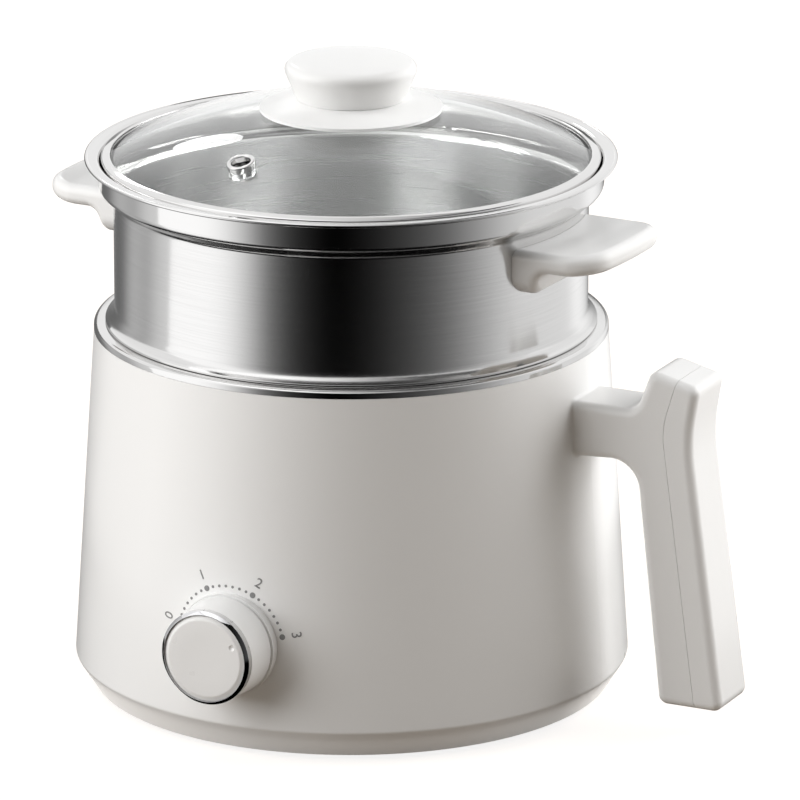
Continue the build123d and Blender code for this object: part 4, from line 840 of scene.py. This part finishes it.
class HOTPOT_OT_dial(Operator):
    """Turn the dial's tapered body, its plated ring and its cap with the pointer dimple"""

    bl_idname = "hotpot.dial"
    bl_label = "Dial"

    def execute(self, context):
        bevel = context.scene.hot_pot_sizes.dial_bevel
        hole_r = cad_radius("dial_ring") - bevel - DIAL_RING_LAND
        self.place(self.body(), "dial_knob", "white_plastic")
        self.place(self.ring(hole_r, bevel), "dial_ring", "dial_chrome")
        self.place(self.cap(hole_r), "dial_cap", "white_plastic")
        return {"FINISHED"}

    def body(self):
        """The hollow body, which narrows towards the user."""
        back_r = cad_radius("dial_knob")
        front_r = back_r - DIAL_TAPER
        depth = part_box("dial_knob")[1][1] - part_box("dial_ring")[1][1]
        section = rounded(
            [(0, depth - DIAL_WALL), (front_r - DIAL_WALL, depth - DIAL_WALL),
             (back_r - DIAL_WALL, 0), (back_r, 0), (front_r, depth), (0, depth)],
            [0, 0, DIAL_BACK_EDGE_R, DIAL_FRONT_EDGE_R],
        )
        return turn_section("dial_body", section)

    def ring(self, hole_r, bevel):
        """The plated ring with its bevelled front edge."""
        ring_r = cad_radius("dial_ring")
        depth = dial_depth("dial_ring")
        section = rounded(
            [(hole_r, 0), (ring_r, 0), (ring_r, depth - bevel), (ring_r - bevel, depth),
             (hole_r, depth), (hole_r, DIAL_RING_SEAM)],
            [DIAL_RING_BACK_EDGE_R, DIAL_RING_SIDE_BEND_R, DIAL_RING_FACE_BEND_R,
             DIAL_RING_HOLE_EDGE_R],
        )
        return turn_section("dial_trim", section)

    def cap(self, cap_r):
        """The cap with its soft edge, slightly dished, and the pointer dimple cut into it."""
        depth = dial_depth("dial_cap")
        section = rounded(
            [(0, 0), (cap_r, 0), (cap_r, depth - DIAL_CAP_EDGE_FALL),
             (cap_r - DIAL_CAP_EDGE, depth), (cap_r / 2, depth - DIAL_CAP_DISH / 2),
             (0, depth - DIAL_CAP_DISH)],
            [0, DIAL_CAP_SIDE_BEND_R, DIAL_CAP_FACE_BEND_R, 0],
        )
        cap = turn_section("dial_face", section)
        pointer = Vector((cos(POINTER_ANGLE), sin(POINTER_ANGLE))) * POINTER_CIRCLE_R
        bpy.ops.mesh.primitive_uv_sphere_add(
            segments=32,
            ring_count=16,
            radius=POINTER_R,
            location=(*pointer, depth + POINTER_R / 2),
        )
        cut(cap, bpy.context.object)
        return cap

    def place(self, piece, node, slot):
        """Put a piece of the dial where its CAD node is, in that node's stead."""
        settle(piece, dial_place(node))
        deliver(piece, "dial", slot, node)


def wall_place(across, up):
    """Place on the housing's tapered wall, this far across and above the dial's axis.

    X runs round the wall, Y up it and Z straight out of it.
    """
    dial = dial_place("dial_ring").translation
    top = cad_top("housing_shell")
    slope = HOUSING_FLARE / (top - SHOULDER_HEIGHT)
    height = dial.z + up
    radius = cad_radius("inner_pot") + slope * (top - height)
    outward = Vector((across, -sqrt(radius**2 - across**2), 0)) / radius
    normal = Vector((outward.x, outward.y, slope)).normalized()
    round_wall = Vector((-outward.y, outward.x, 0))
    axes = Matrix((round_wall, normal.cross(round_wall), normal)).transposed().to_4x4()
    return Matrix.Translation(outward * radius + Vector((0, 0, height))) @ axes


def print_place(turn, circle_r):
    """Place of one mark of the scale, with Y pointing away from the dial's axis."""
    sunk = Matrix.Translation((0, 0, PRINT_PROUD - PRINT_THICKNESS))
    place = wall_place(circle_r * cos(turn), circle_r * sin(turn))
    return place @ Matrix.Rotation(turn - pi / 2, 4, "Z") @ sunk


class HOTPOT_OT_scale(Operator):
    """Print the dial's scale on the housing: small dots, numbered dots and plain figures"""

    bl_idname = "hotpot.scale"
    bl_label = "Dial scale"

    def execute(self, context):
        sizes = context.scene.hot_pot_sizes
        small, big = [self.dot(radius) for radius in (sizes.dot, sizes.big_dot)]
        marks = []
        for step in range(SCALE_STEPS + 1):
            turn = SCALE_START + (SCALE_END - SCALE_START) * step / SCALE_STEPS
            numbered = step % STEPS_PER_FIGURE == 0
            mark = copy_of(big if numbered else small)
            settle(mark, print_place(turn, SCALE_CIRCLE_R))
            marks.append(mark)
            if numbered:
                figure = self.figure(str(step // STEPS_PER_FIGURE), sizes.figure)
                settle(figure, print_place(turn, FIGURE_CIRCLE_R))
                marks.append(figure)
        for pattern in (small, big):
            bpy.data.objects.remove(pattern)
        scale = join(marks, "scale_marks")
        deliver(scale, "base", "white_plastic")
        scale.data.materials[0] = finish("scale_print")  # the ink has no slot of its own
        return {"FINISHED"}

    def dot(self, radius):
        """A thin round dot with a softened edge."""
        deselect_all()
        bpy.ops.mesh.primitive_cylinder_add(
            vertices=32, radius=radius, depth=PRINT_THICKNESS, location=(0, 0, PRINT_THICKNESS / 2)
        )
        bpy.ops.object.mode_set(mode="EDIT")
        bpy.ops.mesh.bevel(offset=PRINT_PROUD / 2, segments=2)
        bpy.ops.object.mode_set(mode="OBJECT")
        bpy.ops.object.transform_apply(location=True)
        return bpy.context.object

    def figure(self, text, height):
        """One figure as a thin slab, centred on its own middle."""
        deselect_all()
        bpy.ops.object.text_add()
        figure = bpy.context.object
        figure.data.body = text
        figure.data.size = height
        figure.data.align_x = "CENTER"
        figure.data.align_y = "CENTER"
        figure.data.extrude = PRINT_THICKNESS / 2
        bpy.ops.object.convert(target="MESH")
        figure = bpy.context.object
        settle(figure, Matrix.Translation((0, 0, PRINT_THICKNESS / 2)))
        return figure


class HOTPOT_OT_finishes(Operator):
    """Give every CAD node that still shows its finish"""

    bl_idname = "hotpot.finishes"
    bl_label = "Finishes"

    def execute(self, context):
        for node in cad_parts.values():
            for slot in node.material_slots:
                name = slot.material.name.split(".")[0]
                if name in FINISHES:
                    slot.material = finish(name)
        return {"FINISHED"}


# ---------------------------------------------------------------- the stage
SENSOR_WIDTH = 36  # mm
SIGHT = 50.0  # how far the camera sees
WHITE = (1, 1, 1, 1)
WARM_FILL = (1.0, 0.93, 0.84, 1)
FLOOR_R = 6.0
FLOOR_GAP = 0.2 * MM  # below the feet
FLOOR_COLOUR = (0.32, 0.275, 0.23, 1)
FLOOR_GLOW = 0.84  # round the pot, where the shadow has to show
FLOOR_NEAR = 0.4  # the glow rises to white between these distances from the pot
FLOOR_FAR = 1.2
CEILING_R = 0.8
CEILING_HEIGHT = 1.1
CEILING_LEFT = 1.4  # strengths at the camera's left and right
CEILING_RIGHT = 0.1
CARD_START = 0.1  # the cards lie on the floor from here
CARD_DARK_END = 0.24  # and are dark up to here
CARD_DARK_FADE = 0.06
CARD_DISTANCE = 0.45  # where they stand up
CARD_HEIGHT = 0.25
CARD_FRONT_RISE = 0.3  # how much higher they stand on the camera's side
CARD_GAP = 0.5 * MM  # above the floor
CARD_STRENGTH = 1.25
WINDOW_STRENGTH = 7.0
CAMERA_SHARE = 0.25  # where the camera's side lies on the radial ramp round the cards
# degrees to the right of the camera's side, and how light the card is there
CARD_SHADES = (
    (-89, 1.0), (-75, 1.0), (-62, 1.0), (-50, 0.75), (-36, 0.08), (-18, 0.0), (0, 0.0), (18, 0.02),
    (40, 0.1), (60, 0.35), (82, 0.72), (118, 0.65), (132, 1.0), (150, 0.6), (162, 0.05),
    (168, 0.1), (174, 0.95), (192, 0.95), (198, 0.1), (225, 0.1), (238, 0.5), (252, 0.3),
    (262, 0.6),
)


class HOTPOT_OT_stage(Operator):
    """Set up the camera, the studio's air, the floor, the lamps and what polished faces show"""

    bl_idname = "hotpot.stage"
    bl_label = "Stage"

    def execute(self, context):
        settings = context.scene.hot_pot_stage
        context.scene.view_settings.view_transform = "Standard"
        self.camera(settings)
        self.air(settings.fill)
        self.floor()
        self.cards(settings.turn)
        self.window(aside=-164, up=26, distance=1.2, size=(0.05, 0.1), roll=radians(20))
        self.ceiling(settings.turn)
        self.lamp("key_lamp", settings.key_power, aside=-72, up=24, distance=2.2, size=(2.2, 1.8))
        self.lamp("side_lamp", settings.side_power, aside=104, up=24, distance=2.0, size=(2.1, 1.8))
        self.lamp("top_lamp", settings.top_power, aside=-50, up=72, distance=2.0, size=(1.0, 1.0),
                  shown=True)
        return {"FINISHED"}

    def direction(self, aside, up):
        """Unit vector from the pot, turned aside (to the right) from the camera's side."""
        turn = bpy.context.scene.hot_pot_stage.turn + radians(aside)
        up = radians(up)
        return Vector((sin(turn) * cos(up), -cos(turn) * cos(up), sin(up)))

    def camera(self, settings):
        """Set the camera up beyond the place that it looks at."""
        right = Vector((cos(settings.turn), sin(settings.turn), 0))
        aim = right * settings.aim_aside + Vector((0, 0, settings.aim_height))
        back = self.direction(0, degrees(settings.rise))
        bpy.ops.object.camera_add(location=aim + back * settings.distance)
        camera = bpy.context.object
        camera.rotation_euler = back.to_track_quat("Z", "Y").to_euler()
        camera.data.lens = settings.lens
        camera.data.sensor_width = SENSOR_WIDTH
        camera.data.clip_end = SIGHT
        bpy.context.scene.camera = camera

    def air(self, fill):
        """White for what the camera, metal and glass see; a softer fill for plain surfaces."""
        world = bpy.data.worlds.new("studio_air")
        world.use_nodes = True
        bpy.context.scene.world = world
        tree = world.node_tree
        tree.nodes.clear()
        background = add_node(
            tree,
            "ShaderNodeBackground",
            {"Color": tint(tree, WARM_FILL, WHITE, self.seen(tree)),
             "Strength": ramp(tree, self.seen(tree), fill, 1.0)},
        )
        add_node(tree, "ShaderNodeOutputWorld", {"Surface": background.outputs[0]})

    def seen(self, tree):
        """1 for the rays of the camera, of reflections and of what glass lets through."""
        rays = tree.nodes.new("ShaderNodeLightPath").outputs
        seen = calculate(tree, "MAXIMUM", rays["Is Camera Ray"], rays["Is Glossy Ray"])
        return calculate(tree, "MAXIMUM", seen, rays["Is Transmission Ray"])

    def floor(self):
        """A plain pale floor that shows white, keeps the pot's shadow and is clear from below."""
        floor, tree = self.flat_piece(
            "floor", 96, radius=FLOOR_R, fill_type="NGON", location=(0, 0, -FLOOR_GAP)
        )
        across = from_axis(tree, object_axes(tree))
        strength = ramp(tree, across, FLOOR_GLOW, 1.0, FLOOR_NEAR, FLOOR_FAR)
        diffuse = add_node(tree, "ShaderNodeBsdfDiffuse", {"Color": FLOOR_COLOUR}).outputs[0]
        glow = add_node(tree, "ShaderNodeEmission", {"Color": WHITE, "Strength": strength})
        both = add_node(tree, "ShaderNodeAddShader", {0: diffuse, 1: glow.outputs[0]})
        above = mixed(tree, self.seen(tree), diffuse, both.outputs[0])
        below = tree.nodes.new("ShaderNodeNewGeometry").outputs["Backfacing"]
        clear = tree.nodes.new("ShaderNodeBsdfTransparent")
        show(tree, mixed(tree, below, above, clear.outputs[0]))

    def cards(self, turn):
        """A round wall of light and dark cards, which only polished and glossy faces show."""
        wall, tree = self.flat_piece("cards", 96, radius=CARD_START, location=(0, 0, CARD_GAP))
        bpy.ops.object.mode_set(mode="EDIT")
        for share in (CARD_DARK_END / CARD_START, CARD_DISTANCE / CARD_DARK_END):
            bpy.ops.mesh.extrude_edges_move()
            bpy.ops.transform.resize(value=(share, share, 1))
        bpy.ops.mesh.extrude_edges_move()
        bpy.ops.transform.translate(value=(0, 0, CARD_HEIGHT))
        bpy.ops.object.mode_set(mode="OBJECT")
        for corner in wall.data.vertices:
            if corner.co.z > CARD_HEIGHT / 2 and corner.co.y < 0:
                corner.co.z += CARD_FRONT_RISE
        wall.rotation_euler.z = turn
        round_wall = add_node(
            tree, "ShaderNodeTexGradient", {0: object_place(tree)}, gradient_type="RADIAL"
        )
        shades = add_node(tree, "ShaderNodeValToRGB", {0: round_wall.outputs["Fac"]})
        shades.color_ramp.interpolation = "B_SPLINE"
        stops = shades.color_ramp.elements
        for aside, shade in CARD_SHADES:
            stop = stops.new(CAMERA_SHARE + aside / 360)
            stop.color = with_alpha((shade, shade, shade))
        for end in (0, -1):  # the two stops that every ramp starts with
            stops.remove(stops[end])
        out = from_axis(tree, object_axes(tree))
        light_from = CARD_DARK_END + CARD_DARK_FADE
        strength = ramp(tree, out, 0.0, CARD_STRENGTH, CARD_DARK_END, light_from)
        self.light_up(wall, tree, shades.outputs[0], strength)

    def ceiling(self, turn):
        """A panel overhead, lit on the left, that glass and glossy faces show."""
        panel, tree = self.flat_piece(
            "ceiling",
            64,
            radius=CEILING_R,
            fill_type="NGON",
            location=(0, 0, CEILING_HEIGHT),
            rotation=(0, 0, turn),
        )
        across = object_axes(tree)[0]
        strength = ramp(tree, across, CEILING_LEFT, CEILING_RIGHT, -CEILING_R / 2, CEILING_R / 2)
        self.light_up(panel, tree, WHITE, strength)
        panel.visible_transmission = True

    def window(self, aside, up, distance, size, roll):
        """A bright panel that only glass and glossy faces show, as one clear highlight."""
        facing = self.direction(aside, up)
        middle = Vector((0, 0, cad_top("lid_glass")))
        panel, tree = self.flat_piece(
            "window", 32, radius=1, fill_type="NGON", location=middle + facing * distance
        )
        turned = facing.to_track_quat("Z", "Y").to_matrix() @ Matrix.Rotation(roll, 3, "Z")
        panel.rotation_euler = turned.to_euler()
        panel.scale = (*size, 1)
        self.light_up(panel, tree, WHITE, WINDOW_STRENGTH)

    def flat_piece(self, name, sides, **values):
        """A flat round piece of the stage, and the node tree of its empty material."""
        deselect_all()
        bpy.ops.mesh.primitive_circle_add(vertices=sides, **values)
        piece = bpy.context.object
        piece.name = name
        material = empty_material(name + "_light")
        piece.data.materials.append(material)
        return piece, material.node_tree

    def light_up(self, piece, tree, colour_value, strength):
        """Let a piece glow for polished and glossy faces alone."""
        glow = add_node(
            tree, "ShaderNodeEmission", {"Color": colour_value, "Strength": strength}
        )
        show(tree, glow.outputs[0])
        for ray in ("camera", "diffuse", "transmission", "volume_scatter", "shadow"):
            setattr(piece, f"visible_{ray}", False)

    def lamp(self, name, power, aside, up, distance, size, shown=False):
        """A soft panel lamp that faces the pot, and that glossy faces show if shown is true."""
        facing = self.direction(aside, up)
        middle = Vector((0, 0, bpy.context.scene.hot_pot_stage.aim_height))
        bpy.ops.object.light_add(type="AREA", location=middle + facing * distance)
        lamp = bpy.context.object
        lamp.name = name
        lamp.data.shape = "RECTANGLE"
        lamp.data.size, lamp.data.size_y = size
        lamp.data.energy = power
        lamp.visible_glossy = shown
        lamp.rotation_euler = facing.to_track_quat("Z", "Y").to_euler()


# ---------------------------------------------------------------- the add-on
class HOTPOT_PT_panel(Panel):
    """Sizes, colours and pieces of the hot pot"""

    bl_label = "Hot Pot"
    bl_idname = "HOTPOT_PT_panel"
    bl_space_type = "VIEW_3D"
    bl_region_type = "UI"
    bl_category = "Hot Pot"

    def draw(self, context):
        for owner in PROPERTY_GROUPS.values():
            box = self.layout.box()
            group = getattr(context.scene, owner)
            for name in group.__annotations__:
                box.prop(group, name)
        for operator in OPERATORS:
            self.layout.operator(operator.bl_idname)


PROPERTY_GROUPS = {
    HotPotSizes: "hot_pot_sizes",
    HotPotColours: "hot_pot_colours",
    HotPotStage: "hot_pot_stage",
}
OPERATORS = [
    HOTPOT_OT_pot,
    HOTPOT_OT_steamer,
    HOTPOT_OT_lid_band,
    HOTPOT_OT_lid_knob,
    HOTPOT_OT_dial,
    HOTPOT_OT_scale,
    HOTPOT_OT_finishes,
    HOTPOT_OT_stage,
]
CLASSES = (*PROPERTY_GROUPS, *OPERATORS, HOTPOT_PT_panel)


def register():
    for made in CLASSES:
        bpy.utils.register_class(made)
    for group, owner in PROPERTY_GROUPS.items():
        setattr(bpy.types.Scene, owner, PointerProperty(type=group))


def unregister():
    for owner in PROPERTY_GROUPS.values():
        delattr(bpy.types.Scene, owner)
    for made in reversed(CLASSES):
        bpy.utils.unregister_class(made)


def main():
    register()
    for operator in OPERATORS:
        _, name = operator.bl_idname.split(".")
        getattr(bpy.ops.hotpot, name)()


if __name__ == "__main__":
    main()
